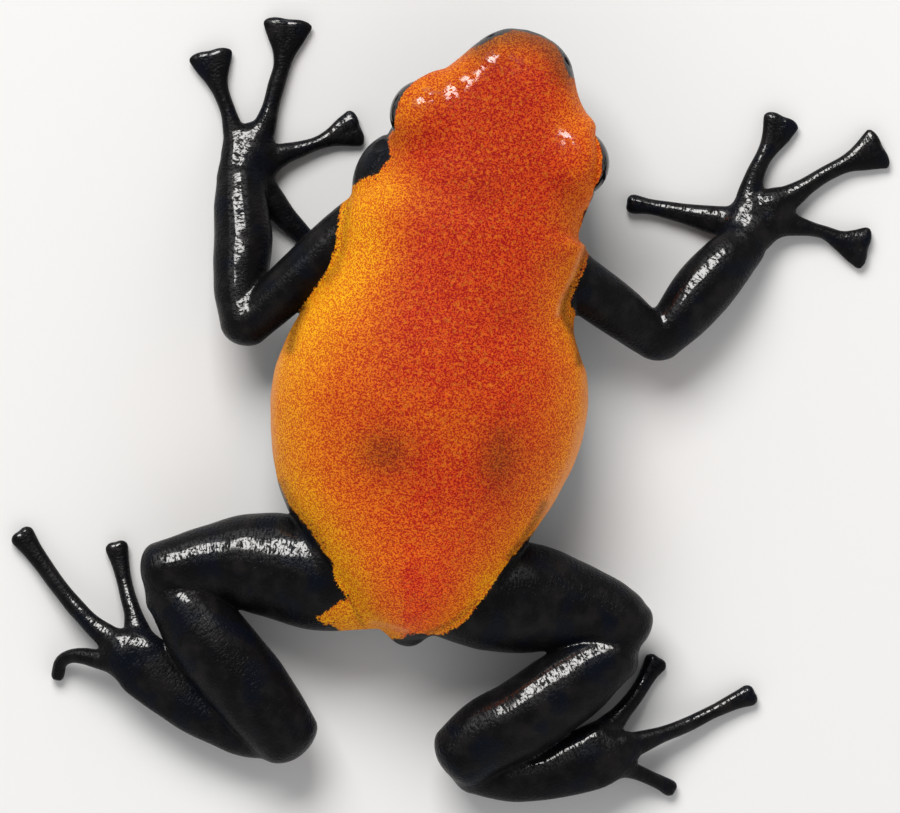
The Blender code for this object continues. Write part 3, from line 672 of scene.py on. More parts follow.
class Tube(Form):
    """A closed tube of flesh through given sections, with rounded ends."""

    CAP_RINGS = 8
    LAST_RING = 0.2  # how far the last ring stays from the very end, in rings
    PER_SPAN = 10

    def __init__(
        self, sections: Sequence[Section], cap: float, sides: int = 72, upright: bool = False,
        end_shape: float = ROUND_END,
    ) -> None:
        """Works out the tube's rings.

        Args:
            sections: The sections it runs through.
            cap: Length of its rounded ends.
            sides: Points round each ring.
            upright: Whether the rings stand upright on their stated headings, as the trunk's do.
            end_shape: How fast its ends narrow.
        """
        self.rows = smooth_run(sections, self.PER_SPAN)
        self.line = row_place(*self.rows[:, PLACE].T)
        if upright:
            heading = self.rows[:, HEADING]
            forward = np.stack([-np.sin(heading), -np.cos(heading), 0.0 * heading], axis=1)
        else:
            count = len(self.line)
            later = np.minimum(np.arange(count) + 1, count - 1)
            earlier = np.maximum(np.arange(count) - 1, 0)
            forward = self.line[later] - self.line[earlier]
        self.forward = forward / np.linalg.norm(forward, axis=1, keepdims=True)
        self.rings = self._rings(cap, sides, end_shape)

    def _rings(self, cap: float, sides: int, end_shape: float) -> Array:
        """Places the points of each ring, shrinking ones at the two ends among them.

        Args:
            cap: Length of the rounded ends.
            sides: Points round each ring.
            end_shape: How fast the ends narrow.

        Returns:
            Points, by ring and by place on the ring.
        """
        turns = math.pi / 2 * np.arange(1, self.CAP_RINGS + 1) / (self.CAP_RINGS + self.LAST_RING)
        order, shrinks, shifts = [], [], []
        for end, sign in ((0, -1.0), (len(self.rows) - 1, 1.0)):
            caps = list(zip([end] * len(turns), np.cos(turns) ** end_shape, sign * cap * np.sin(turns)))
            if sign < 0:
                caps = caps[::-1] + [(i, 1.0, 0.0) for i in range(len(self.rows))]
            for ring, shrink, shift in caps:
                order.append(ring)
                shrinks.append(shrink)
                shifts.append(shift)
        rows, forward = self.rows[order], self.forward[order]
        middle = self.line[order] + forward * np.array(shifts)[:, None]
        size = rows[:, SIZES] * np.array(shrinks)[:, None]
        side = np.cross(forward, (0.0, 0.0, 1.0))
        side /= np.linalg.norm(side, axis=1, keepdims=True)
        over = np.cross(side, forward)
        angle = 2 * math.pi * (np.arange(sides) + 0.5) / sides
        across, along = np.cos(angle)[None], np.sin(angle)[None]
        power = (2.0 / rows[:, SQUARE])[:, None]
        x = np.sign(across) * np.abs(across) ** power * size[:, :1]
        z = np.sign(along) * np.abs(along) ** power * np.where(along > 0, size[:, 1:2], size[:, 2:3])
        return middle[:, None] + side[:, None] * x[..., None] + over[:, None] * z[..., None]

    def box(self) -> tuple[Array, Array]:
        """The lowest and highest corners."""
        return self.rings.min(axis=(0, 1)), self.rings.max(axis=(0, 1))

    def distances(self, window: Window) -> Array:
        """Measures the cells against the tube's surface.

        Args:
            window: The cells that are asked about.

        Returns:
            The distances, in millimetres, cut off at the band's width.
        """
        count, sides = self.rings.shape[:2]
        number = np.arange(count * sides).reshape(count, sides)
        turned = np.roll(number, -1, axis=1)
        quads = np.stack([number[:-1], turned[:-1], turned[1:], number[1:]], axis=-1).reshape(-1, 4)
        ends = np.array([count * sides, count * sides + 1])
        fans = [
            np.stack([turned[0], number[0], np.full(sides, ends[0])], axis=-1),
            np.stack([number[-1], turned[-1], np.full(sides, ends[1])], axis=-1),
        ]
        points = np.concatenate([self.rings.reshape(-1, 3), self.rings[[0, -1]].mean(axis=1)])
        grid = openvdb.FloatGrid.createLevelSetFromPolygons(
            points.astype(np.float32),
            triangles=np.concatenate(fans).astype(np.uint32),
            quads=quads.astype(np.uint32),
            transform=openvdb.createLinearTransform(voxelSize=VOXEL),
            halfWidth=BAND / VOXEL,
        )
        block = np.empty(window.size, np.float32)
        grid.copyToArray(block, ijk=window.start)
        return block


class Clay:
    """A block of cells that hold how far each lies outside the flesh."""

    SLOPE_STEP = 0.75 * VOXEL  # to each side of a point, where its slope is measured
    FAR_MARGIN = 1.001  # kept from the block's far side, in cells, so that there is always a next cell
    TESTED_FACES = 97  # one face in so many tells whether they all face outwards

    def __init__(self, low: Sequence[float], high: Sequence[float]) -> None:
        """Makes an empty block.

        Args:
            low: Its lowest corner, in the row frame.
            high: Its highest corner.
        """
        start = np.floor(np.array(low) / VOXEL).astype(int)
        size = np.ceil(np.array(high) / VOXEL).astype(int) - start + 1
        self.whole = Window(tuple(start.tolist()), tuple(size.tolist()))
        self.field = np.full(self.whole.size, BAND, np.float32)

    def _window(self, form: Form) -> tuple[Window, tuple[slice, ...]]:
        """Finds the cells round a form.

        Args:
            form: The form.

        Returns:
            The window, and its slices of the block.
        """
        low, high = form.box()
        first = np.floor((low - BAND) / VOXEL).astype(int) - self.whole.start
        last = np.ceil((high + BAND) / VOXEL).astype(int) - self.whole.start
        first = np.maximum(first, 0)
        last = np.minimum(last, np.array(self.whole.size) - 1)
        window = Window(tuple((first + self.whole.start).tolist()), tuple((last - first + 1).tolist()))
        return window, tuple(slice(a, b + 1) for a, b in zip(first, last))

    def join(self, form: Form, blend: Blend) -> None:
        """Joins a form to the flesh.

        Args:
            form: The form.
            blend: How softly it flows in.
        """
        window, part = self._window(form)
        self.field[part] = smooth_least(self.field[part], form.distances(window), blend.widths(window))

    def carve(self, form: Form, softness: float) -> None:
        """Cuts a form out of the flesh.

        Args:
            form: The form.
            softness: Width of the rounding of the cut's edge.
        """
        window, part = self._window(form)
        self.field[part] = -smooth_least(-self.field[part], form.distances(window), softness)

    def rest_on_floor(self, softness: float) -> None:
        """Cuts off what dips under the floor.

        Args:
            softness: Width of the rounding of the cut's edge.
        """
        height = self.whole.axes()[2].astype(np.float32)
        self.field = -smooth_least(-self.field, height, softness)

    def soften(self, times: int) -> None:
        """Evens out the creases of the flesh a little.

        Args:
            times: How many times each cell is averaged with those beside it.
        """
        for _ in range(times):
            for axis in range(3):
                moved = np.moveaxis(self.field, axis, 0)
                inner = 0.5 * moved[1:-1] + 0.25 * (moved[:-2] + moved[2:])
                moved[1:-1] = inner

    def read(self, points: Array) -> Array:
        """Reads the distance at any points, between the cells.

        Args:
            points: The points, in the row frame.

        Returns:
            Their distances outside the flesh.
        """
        place = points / VOXEL - np.array(self.whole.start)
        place = np.clip(place, 0, np.array(self.whole.size) - self.FAR_MARGIN)
        corner = place.astype(int)
        share = place - corner
        total = np.zeros(len(points))
        for steps in np.ndindex(2, 2, 2):
            weight = np.prod(np.where(steps, share, 1.0 - share), axis=1)
            i, j, k = (corner + steps).T
            total += weight * self.field[i, j, k]
        return total

    def slopes(self, points: Array) -> Array:
        """Finds which way is out of the flesh at some points.

        Args:
            points: The points, in the row frame.

        Returns:
            Unit vectors.
        """
        out = np.empty_like(points)
        for axis in range(3):
            shift = np.zeros(3)
            shift[axis] = self.SLOPE_STEP
            out[:, axis] = self.read(points + shift) - self.read(points - shift)
        return out / np.maximum(np.linalg.norm(out, axis=1, keepdims=True), TINY)

    def surface(self, relaxing: int) -> tuple[Array, Array]:
        """Draws the skin of the flesh as an even mesh.

        Args:
            relaxing: How many times its points are evened out.

        Returns:
            Its points, and the four points of each face in outward order.
        """
        grid = openvdb.FloatGrid(BAND)
        grid.copyFromArray(self.field, ijk=self.whole.start)
        grid.transform = openvdb.createLinearTransform(voxelSize=VOXEL)
        grid.gridClass = openvdb.GridClass.LEVEL_SET
        points, quads = grid.convertToQuads(isovalue=0.0)
        points, quads = points.astype(float), quads.astype(np.int64)
        corners = points[quads]
        middle = corners.mean(axis=1)
        facing = np.cross(corners[:, 2] - corners[:, 0], corners[:, 3] - corners[:, 1])
        tested = slice(None, None, self.TESTED_FACES)
        if (self.slopes(middle[tested]) * facing[tested]).sum() < 0:
            quads = quads[:, ::-1]
        ends = np.concatenate([quads[:, [i, (i + 1) % 4]] for i in range(4)])
        count = np.bincount(ends[:, 0], minlength=len(points)).astype(float)
        for _ in range(relaxing):
            sums = [np.bincount(ends[:, 0], points[ends[:, 1], axis], len(points)) for axis in range(3)]
            points = 0.5 * points + 0.5 * np.stack(sums, axis=1) / count[:, None]
            points -= self.slopes(points) * self.read(points)[:, None]
        return points, quads


ROOT_BLEND = 0.9
JOINT_BLEND = 0.9
WRIST_BLEND = 0.3
DIGIT_BLEND = 1.0
LID_BLEND = 0.9
JAW_BLEND = 0.6
LID_EDGE_SOFTNESS = 0.16
SOCKET_SOFTNESS = 0.12
FLOOR_SOFTNESS = 0.15
BLOCK_LOW = (-25.6, -23.2, -0.7)
BLOCK_HIGH = (25.4, 26.2, 13.2)
TRUNK_SIDES = 160
DIGIT_SIDES = 48


class Flesh:
    """The whole animal's flesh, joined into one."""

    def __init__(self) -> None:
        """Starts with an empty block."""
        self.clay = Clay(BLOCK_LOW, BLOCK_HIGH)
        self.trunk = Tube(TRUNK, TRUNK_CAP, TRUNK_SIDES, upright=True)
        self.trunk_field = self.clay.field  # as it stands before the limbs are joined
        self.segments: list[Tube] = []
        self.digits: list[Tube] = []

    def build(self) -> None:
        """Joins the trunk, the limbs and the lids, and cuts the sockets and the floor."""
        self.clay.join(self.trunk, Blend())
        self.clay.join(Ball(JAW_SWELLING, JAW_RADII), Blend(JAW_BLEND))
        self.clay.join(Ball(VENT_PLACE, VENT_RADII), Blend(VENT_BLEND))
        for side in Side:
            self.clay.join(Lid(side), Blend(LID_BLEND))
        self.trunk_field = self.clay.field.copy()
        for form in ARMS.values():
            self._add_limb(form, WRIST_BLEND)
            self.clay.join(Tube([*form.lower[-2:], *form.end[:2]], LIMB_CAP), Blend())
        for form in LEGS.values():
            self._add_limb(form, JOINT_BLEND)
        for side in Side:
            eye = (*head_place(side.value * EYE_OUT, 0.0), EYE_UP)
            self.clay.carve(Ball(eye, [EYE_RADIUS + EYE_GAP] * 3), SOCKET_SOFTNESS)
            nostril = NOSTRIL.place(side)
            self.clay.carve(Ball(nostril, [NOSTRIL.radius] * 3), NOSTRIL.softness)
        self.clay.soften(1)
        self.clay.rest_on_floor(FLOOR_SOFTNESS)

    def _add_limb(self, form: LimbForm, end_blend: float) -> None:
        """Joins one limb, each piece flowing into the one before it only at their joint.

        Args:
            form: The limb's sections.
            end_blend: How widely the hand or foot flows into the piece before it.
        """
        joint: tuple[float, float, float] = form.root
        reach = form.root_reach
        last: Section | None = None
        for sections, width in ((form.upper, ROOT_BLEND), (form.lower, JOINT_BLEND), (form.end, end_blend)):
            if last:
                first = sections[0]
                joint = tuple((a + b) / 2 for a, b in zip(last.numbers()[PLACE], first.numbers()[PLACE]))
                reach = JOINT_REACH
            tube = Tube(sections, LIMB_CAP)
            self.clay.join(tube, Blend(width, joint, reach))
            self.segments.append(tube)
            last = sections[-1]
        for sections in form.digits:
            tube = Tube(sections, DIGIT_CAP, DIGIT_SIDES, end_shape=DIGIT_END)
            self.clay.join(tube, Blend(DIGIT_BLEND, tuple(sections[0].numbers()[PLACE]), DIGIT_REACH))
            self.digits.append(tube)


def distance_to_path(places: Array, path: Sequence[Sequence[float]]) -> Array:
    """Measures how far each place is from a line through some points.

    Args:
        places: The places, one to a row.
        path: The points of the line.

    Returns:
        The distances.
    """
    nearest = np.full(len(places), np.inf)
    points = np.array(path, float)
    for start, end in zip(points, points[1:]):
        run = end - start
        share = np.clip((places - start) @ run / (run @ run), 0.0, 1.0)
        nearest = np.minimum(nearest, np.linalg.norm(places - start - share[:, None] * run, axis=1))
    return nearest


def distance_inside(places: Array, outline: Sequence[tuple[float, float]]) -> Array:
    """Measures how far each place lies inside an outline, and less than 0 outside it.

    Args:
        places: Plan places, one to a row.
        outline: The outline's corners.

    Returns:
        The signed distances.
    """
    closed = [*outline, outline[0]]
    inside = np.zeros(len(places), bool)
    x, y = places.T
    for (x1, y1), (x2, y2) in zip(closed, closed[1:]):
        if y1 != y2:
            inside ^= ((y1 > y) != (y2 > y)) & (x < (x2 - x1) * (y - y1) / (y2 - y1) + x1)
    gap = distance_to_path(places, closed)
    return np.where(inside, gap, -gap)


# The edge of the orange cloak in plan, round from the snout by the animal's left. It runs wide of the
# body where the orange goes on down the flank, and there its height ends it.
CLOAK = [
    (1.2, 21.7), (0.2, 21.1), (-0.45, 20.65), (-1.15, 20.1), (-1.55, 19.75), (-2.4, 19.7), (-4.0, 18.9),
    (-5.6, 18.0), (-7.2, 16.6), (-7.2, 14.3), (-6.05, 14.0),
    (-5.95, 13.4), (-5.75, 12.7), (-5.6, 12.2), (-5.95, 11.75), (-6.2, 11.2), (-6.75, 10.9), (-7.2, 10.6),
    (-7.75, 10.05), (-8.0, 9.4), (-8.1, 8.4), (-8.0, 6.5), (-8.1, 5.3), (-8.45, 4.3), (-9.05, 3.0),
    (-9.65, 1.7), (-10.1, 0.6), (-11.2, -1.0), (-11.2, -5.0), (-10.0, -7.3), (-8.8, -8.5), (-8.0, -9.7),
    (-7.0, -10.5), (-6.3, -11.1), (-5.6, -11.9), (-4.75, -12.7), (-4.6, -13.5), (-4.2, -14.0), (-3.6, -14.6),
    (-4.1, -14.95), (-4.5, -15.5), (-5.25, -16.15), (-4.8, -16.4), (-3.9, -16.5), (-3.0, -17.2),
    (-2.2, -17.2), (-1.5, -16.7), (-0.5, -16.62), (0.25, -16.45), (0.5, -16.1), (1.3, -15.95), (1.75, -16.05),
    (2.6, -15.8), (3.4, -15.2), (3.9, -14.6), (4.25, -13.9), (4.7, -13.1), (5.05, -12.3), (5.55, -11.2),
    (6.1, -10.3), (6.6, -9.3), (7.1, -8.5), (8.6, -7.5), (9.9, -5.0), (9.9, -1.0), (9.4, 1.6), (8.6, 3.3),
    (7.75, 4.1), (7.15, 4.8), (6.8, 5.5), (6.95, 6.5), (7.2, 7.5), (7.4, 8.6), (7.35, 9.35), (6.85, 9.75),
    (6.5, 10.1), (6.9, 10.8), (7.8, 12.0), (8.4, 14.0), (8.2, 16.0), (6.6, 17.6), (5.0, 18.9), (4.3, 19.05),
    (4.05, 19.5), (3.65, 20.15), (3.2, 20.7), (2.6, 21.6),
]

# Height of the lower edge of the orange, by how far ahead it is.
CLOAK_HEM = [
    (-17.5, 2.8), (-15.5, 3.4), (-13.0, 3.9), (-9.0, 4.15), (-2.0, 4.3), (5.0, 4.6), (10.0, 5.0), (12.2, 5.5),
    (14.4, 6.3), (16.6, 5.6), (18.3, 5.3), (19.4, 5.6), (20.3, 6.3), (21.5, 6.5),
]


@dataclass(frozen=True)
class Stroke:
    """A soft line on the back, in plan: how far it sinks the skin, how much painted shade and painted sheen
    it lays on the colour, and how wet it makes the skin.
    """

    path: tuple[tuple[float, float], ...]
    width: float
    depth: float = 0.0
    painted_shade: float = 0.0
    pale: float = 0.0
    wet: float = 0.0


@dataclass(frozen=True)
class Spot:
    """A soft round mark on the back, in plan, which lays painted shade on the skin's colour or gilds it."""

    right: float
    ahead: float
    across: float
    along: float
    painted_shade: float = 0.0
    gold: float = 0.0


# The darkening strokes lay painted shade in the folds and creases of the flanks, the hips and the snout's
# front; the paling strokes lay a painted sheen along the flanks' edges and beside the folds; the wet strokes
# mark where the head's coat shines.
STROKES = [
    Stroke(((7.3, 9.4), (7.2, 8.5), (7.0, 7.5), (6.8, 6.6)), 0.22, 0.1, 0.75),
    Stroke(
        ((6.75, 6.4), (6.5, 5.5), (6.5, 4.8), (6.9, 4.2), (7.5, 3.6), (7.85, 2.8), (8.0, 2.0)),
        0.3, 0.12, 0.85,
    ),
    Stroke(((6.95, 9.2), (6.8, 8.2), (6.55, 7.0), (6.3, 6.1), (6.1, 5.2), (6.1, 4.6)), 0.16, -0.03, 0.0, 0.6),
    Stroke(((-7.72, 9.6), (-7.7, 8.0), (-7.55, 6.5), (-7.7, 5.0), (-8.1, 4.2)), 0.28, 0.05, 0.4),
    Stroke(((-9.25, 2.3), (-9.6, 1.0), (-9.65, -0.3)), 0.32, 0.05, 0.85),
    Stroke(((7.3, -6.9), (6.95, -8.0), (6.4, -9.3), (5.8, -10.4)), 0.24, 0.04, 0.7),
    Stroke(((4.3, -13.5), (3.3, -14.7), (2.5, -15.4), (1.7, -15.9)), 0.2, 0.06, 0.5),
    Stroke(((-8.6, -8.4), (-7.7, -9.6), (-6.6, -10.6), (-5.4, -11.8)), 0.3, 0.0, 0.35),
    Stroke(((-3.5, -14.5), (-2.9, -15.3), (-2.3, -16.1)), 0.14, 0.08, 0.5),
    Stroke(((8.6, 1.6), (8.95, -1.0), (8.75, -3.6), (8.25, -5.6), (7.5, -7.5)), 0.42, 0.0, 0.0, 0.75),
    Stroke(((-10.2, 0.2), (-10.35, -2.4), (-10.1, -4.6), (-9.5, -6.8)), 0.3, 0.0, 0.0, 0.6),
    Stroke(((-6.1, 14.0), (-6.1, 13.2), (-6.05, 12.4), (-6.4, 11.7), (-6.6, 11.3)), 0.13, 0.1),
    Stroke(((-1.8, -15.95), (-0.6, -15.95), (0.4, -16.0)), 0.18, 0.05, 0.0, 0.5),
    Stroke(
        ((-1.4, 19.9), (-0.3, 20.8), (1.0, 21.15), (2.5, 20.95), (3.4, 20.2), (4.0, 19.3)),
        1.0, 0.0, 0.85,
    ),
    Stroke(((-5.6, 15.3), (-4.5, 16.3), (-3.4, 17.1), (-2.2, 18.1), (-0.8, 19.3), (0.9, 20.3)), 1.4, wet=1.0),
    Stroke(((4.0, 17.0), (5.0, 15.6), (6.0, 14.0)), 1.5, wet=1.0),
    Stroke(((5.35, 15.5), (5.85, 13.7)), 1.65, -0.48),
    Stroke(((6.9, 15.7), (7.2, 14.4), (7.2, 13.2)), 0.65, 0.5),
    Stroke(((-5.6, 16.2), (-4.1, 17.3), (-2.65, 18.3), (-1.5, 19.1), (-0.2, 19.95)), 0.8, -0.14),
    Stroke(((-7.8, -10.25), (-6.65, -11.4), (-5.0, -13.0), (-3.4, -14.8)), 0.12, 0.12),
    Stroke(((6.1, -10.4), (5.4, -12.0), (4.6, -13.8), (3.5, -15.3)), 0.12, 0.12),
]
# The darkening spots lay painted shade on the hips, the right shoulder and the neck; the gold spots gild the
# skin.
SPOTS = [
    Spot(-2.8, -5.5, 1.7, 1.5, 0.62),
    Spot(4.1, -4.6, 1.2, 2.2, 0.62),
    Spot(3.9, 4.4, 2.2, 1.4, 0.16),
    Spot(0.2, 11.4, 1.6, 1.2, 0.12),
    Spot(4.6, 16.0, 1.4, 1.6, gold=0.25),
    Spot(1.0, -2.5, 3.0, 2.0, gold=0.12),
    Spot(0.0, -9.0, 5.0, 6.0, gold=0.13),
    Spot(2.0, 0.0, 5.0, 5.0, gold=0.05),
    Spot(0.5, 20.6, 3.2, 1.3, gold=0.3),
]

# How the gold of a flank fades inwards: how far ahead, then its share at the edge, its reach and how
# sharply it ends.
GOLD: dict[Side, list[tuple[float, float, float, float]]] = {
    Side.LEFT: [
        (-16.0, 0.9, 1.8, 2.0), (-13.5, 1.0, 3.6, 2.2), (-11.0, 1.1, 4.4, 2.0), (-7.0, 0.9, 4.4, 1.5),
        (-3.0, 0.9, 4.6, 1.3), (1.0, 1.05, 4.7, 2.0), (3.5, 1.1, 3.9, 2.6), (9.0, 1.0, 3.6, 2.6),
        (12.5, 0.5, 1.4, 1.5), (20.0, 0.45, 1.2, 1.5),
    ],
    Side.RIGHT: [
        (-16.0, 0.7, 1.2, 1.5), (-12.0, 0.95, 2.0, 1.7), (-9.0, 0.75, 2.2, 1.5), (4.0, 0.75, 2.2, 1.5),
        (9.0, 0.55, 2.0, 1.5), (12.5, 0.45, 1.4, 1.5), (20.0, 0.45, 1.2, 1.5),
    ],
}

# Painted light, by how far ahead: how much lighter or darker the red of the back is painted to even out how
# the lamps light it from snout to rump, and how much lighter its right edge is painted.
PAINTED_LIGHT = [
    (-17.0, 0.3), (-15.0, 0.45), (-13.0, 0.42), (-11.5, 0.32), (-8.5, 0.12), (-6.0, 0.03), (20.0, -0.1),
]
RIGHT_PAINTED_LIGHT = 0.18

# The way the wettest skin faces, and how closely a patch must face it.
WET_WAY = (0.180, -0.340, 0.923)
WET_FROM = 0.91
WET_OVER = 0.07


@dataclass(frozen=True)
class Nostril:
    """One of the two small openings near the tip of the snout."""

    ahead_of_eyes: float = 5.6
    outwards: float = 2.3
    up: float = 6.9
    radius: float = 0.27
    softness: float = 0.12

    def place(self, side: Side) -> tuple[float, float, float]:
        """Its place on one side."""
        return (*head_place(side.value * self.outwards, self.ahead_of_eyes), self.up)


NOSTRIL = Nostril()
VENT_PLACE = (0.45, -16.1, 3.5)
VENT_RADII = (1.0, 0.8, 0.8)
VENT_BLEND = 0.4
JOINT_REACH = 3.2
DIGIT_REACH = 2.6
LIMB_START = 0.5  # how far off the trunk a limb's own skin has wholly taken over
BACK_FROM = 3.4  # height at which the folds of the back begin
BACK_OVER = 0.8  # further height over which they reach their full depth
POINTS_AT_ONCE = 20000


@dataclass(frozen=True)
class Eardrum:
    """The shallow round drum behind each eye, with a slightly raised rim."""

    behind_eyes: float = 2.95
    outwards: float = 6.3
    up: float = 5.9
    radius: float = 0.85
    rim: float = 0.14
    depth: float = 0.1
    rise: float = 0.05


@dataclass(frozen=True)
class Disc:
    """The pad on each digit's end: two small plates on top, a groove between them and a notch in front."""

    length: float = 1.5
    groove: float = 0.04
    groove_width: float = 0.13
    plate_rise: float = 0.03
    notch: float = 0.06
    notch_width: float = 0.3
    plate_out: float = 0.45  # of the half width, from the midline to a plate's middle
    plate_reach: float = 0.42
    fade: float = 0.6  # of the length, over which the disc begins
    margin: float = 0.3
    turning: float = 2.0  # how quickly the top and the front begin as the skin turns to face that way
    front_from: float = 0.3  # how far the skin must face forwards before the notch begins


@dataclass(frozen=True)
class Mouth:
    """The fine groove between the lips."""

    up_front: float = 4.35
    up_corner: float = 3.75
    corner_behind_eyes: float = 2.4
    front_of_eyes: float = 6.0
    depth: float = 0.13
    width: float = 0.13
    fade: float = 0.6


@dataclass(frozen=True)
class Ripple:
    """Slow waves that keep the skin from looking machined."""

    waves: int = 28
    shortest: float = 1.3
    longest: float = 4.5
    height: float = 0.0035
    seed: int = 7


class Skin:
    """The one skin over all the flesh, with its relief and the marks that its colours follow."""

    RELAXING = 3

    def __init__(self, flesh: Flesh) -> None:
        """Draws the skin over the flesh.

        Args:
            flesh: The joined flesh.
        """
        self.flesh = flesh
        self.points, self.quads = flesh.clay.surface(self.RELAXING)
        self.outward = flesh.clay.slopes(self.points)
        self.plan = np.stack([-self.points[:, 0], -self.points[:, 1]], axis=1)
        bare = Clay(BLOCK_LOW, BLOCK_HIGH)
        bare.field = flesh.trunk_field
        self.on_limb = ease(np.clip(bare.read(self.points), 0.0, BAND) / LIMB_START)
        self.on_trunk = 1.0 - self.on_limb

    def build(self, name: str) -> bpy.types.Object:
        """Raises the relief, makes the mesh and writes its marks.

        Args:
            name: The new object's name.

        Returns:
            The object, without a material.
        """
        self.points += self.outward * self._relief()[:, None]
        self.points[:, 2] = np.maximum(self.points[:, 2], 0.0)
        mesh = bpy.data.meshes.new(name)
        mesh.from_pydata((self.points * METRES_PER_MM).tolist(), [], self.quads.tolist())
        mesh.update()
        mesh.shade_smooth()
        for mark, values in self._marks().items():
            layer = mesh.attributes.new(mark, "FLOAT", "POINT")
            layer.data.foreach_set("value", values.astype(np.float32))
        made = bpy.data.objects.new(name, mesh)
        bpy.context.scene.collection.objects.link(made)
        return made

    def _relief(self) -> Array:
        """Adds up how far each point is raised.

        Returns:
            Heights in millimetres, less than 0 where the skin is pressed in.
        """
        lift = self._ripples() + self._ear_drums() + self._mouth()
        on_back = self.on_trunk * ease((self.points[:, 2] - BACK_FROM) / BACK_OVER)
        for stroke in STROKES:
            if stroke.depth:
                near = np.exp(-((distance_to_path(self.plan, stroke.path) / stroke.width) ** 2))
                lift -= stroke.depth * near * on_back
        for digit in self.flesh.digits:
            self._shape_disc(digit, lift)
        return lift

    def _ripples(self) -> Array:
        """Sums waves that run in all directions, always the same ones.

        Returns:
            Heights in millimetres.
        """
        plan = Ripple()
        rng = np.random.default_rng(plan.seed)
        total = np.zeros(len(self.points))
        for _ in range(plan.waves):
            heading = rng.normal(size=3)
            heading *= 2 * math.pi / (np.linalg.norm(heading) * rng.uniform(plan.shortest, plan.longest))
            total += np.sin(self.points @ heading + rng.uniform(0.0, 2 * math.pi))
        return total * plan.height

    def _ear_drums(self) -> Array:
        """Sinks the two drums and raises their rims.

        Returns:
            Heights in millimetres.
        """
        plan = Eardrum()
        lift = np.zeros(len(self.points))
        for side in Side:
            place = row_place(*head_place(side.value * plan.outwards, -plan.behind_eyes), plan.up)
            away = np.linalg.norm(self.points - place, axis=1)
            ring = np.exp(-(((away - plan.radius) / plan.rim) ** 2))
            lift += self.on_trunk * (plan.rise * ring - plan.depth * ease((plan.radius - away) / plan.rim))
        return lift

    def _ahead_of_eyes(self) -> Array:
        """How far each point lies ahead of the line between the eyes, along the head's midline."""
        offset = self.plan - np.array(HEAD_MIDDLE)
        return offset[:, 0] * math.sin(HEAD_TURN) + offset[:, 1] * math.cos(HEAD_TURN)

    def _mouth(self) -> Array:
        """Presses the groove between the lips, all round the snout.

        Returns:
            Heights in millimetres.
        """
        plan = Mouth()
        ahead = self._ahead_of_eyes()
        length = plan.corner_behind_eyes + plan.front_of_eyes
        share = np.clip((ahead + plan.corner_behind_eyes) / length, 0.0, 1.0)
        height = plan.up_corner + (plan.up_front - plan.up_corner) * share
        inside = ease((ahead + plan.corner_behind_eyes) / plan.fade + 0.5)
        groove = np.exp(-(((self.points[:, 2] - height) / plan.width) ** 2))
        return -plan.depth * groove * inside * self.on_trunk

    def _shape_disc(self, digit: Tube, lift: Array) -> None:
        """Works the plates, the groove and the notch of one disc into the relief.

        Args:
            digit: The digit's tube.
            lift: Heights in millimetres, which are changed.
        """
        plan = Disc()
        tip, forward = digit.line[-1], digit.forward[-1]
        half_width = digit.rows[-1, WIDE]
        side = np.cross(forward, (0.0, 0.0, 1.0))
        side /= np.linalg.norm(side)
        near = np.flatnonzero(np.linalg.norm(self.points - tip, axis=1) < plan.length + half_width)
        offset = self.points[near] - tip
        along, across = offset @ forward, offset @ side
        within = np.abs(across) < half_width + plan.margin
        on_disc = ease((along + plan.length) / (plan.fade * plan.length)) * within
        on_top = ease(self.outward[near, 2] * plan.turning)
        groove = np.exp(-((across / (plan.groove_width * half_width)) ** 2))
        plates = ease(1.0 - np.abs(np.abs(across) / half_width - plan.plate_out) / plan.plate_reach)
        size = min(1.0, half_width)
        lift[near] += on_disc * on_top * size * (plan.plate_rise * plates - plan.groove * groove)
        in_front = ease((self.outward[near] @ forward - plan.front_from) * plan.turning)
        notch = np.exp(-((across / (plan.notch_width * half_width)) ** 2))
        lift[near] -= plan.notch * size * notch * in_front * on_disc

    def _marks(self) -> dict[str, Array]:
        """Works out the values that the skin's colours follow.

        Returns:
            A value for each point, by the mark's name.
        """
        height = self.points[:, 2]
        hem = np.interp(self.plan[:, 1], *np.array(CLOAK_HEM).T)
        cloak = np.minimum(distance_inside(self.plan, CLOAK), height - hem)
        rows = self.flesh.trunk.rows
        trunk_right, trunk_ahead, _ = rows[:, PLACE].T
        middle = np.interp(self.plan[:, 1], trunk_ahead, trunk_right)
        half = np.interp(self.plan[:, 1], trunk_ahead, rows[:, WIDE])
        across = self.plan[:, 0] - middle
        from_edge = np.maximum(half - np.abs(across), 0.0)
        gold = np.zeros(len(height))
        for side, table in GOLD.items():
            ahead, *columns = np.array(table).T
            share, reach, sharpness = (np.interp(self.plan[:, 1], ahead, column) for column in columns)
            fading = share * np.exp(-((from_edge / reach) ** sharpness))
            gold = np.where(across * side.value > 0, fading, gold)
        gold = np.clip(gold, 0.0, 1.0)
        # painted light: the red lightened towards the rump and the right edge, and darkened at the snout
        light = 1.0 + (1.0 - gold) * np.interp(self.plan[:, 1], *np.array(PAINTED_LIGHT).T)
        light += RIGHT_PAINTED_LIGHT * np.clip(across / np.maximum(half, 1.0), 0.0, 1.0) ** 2
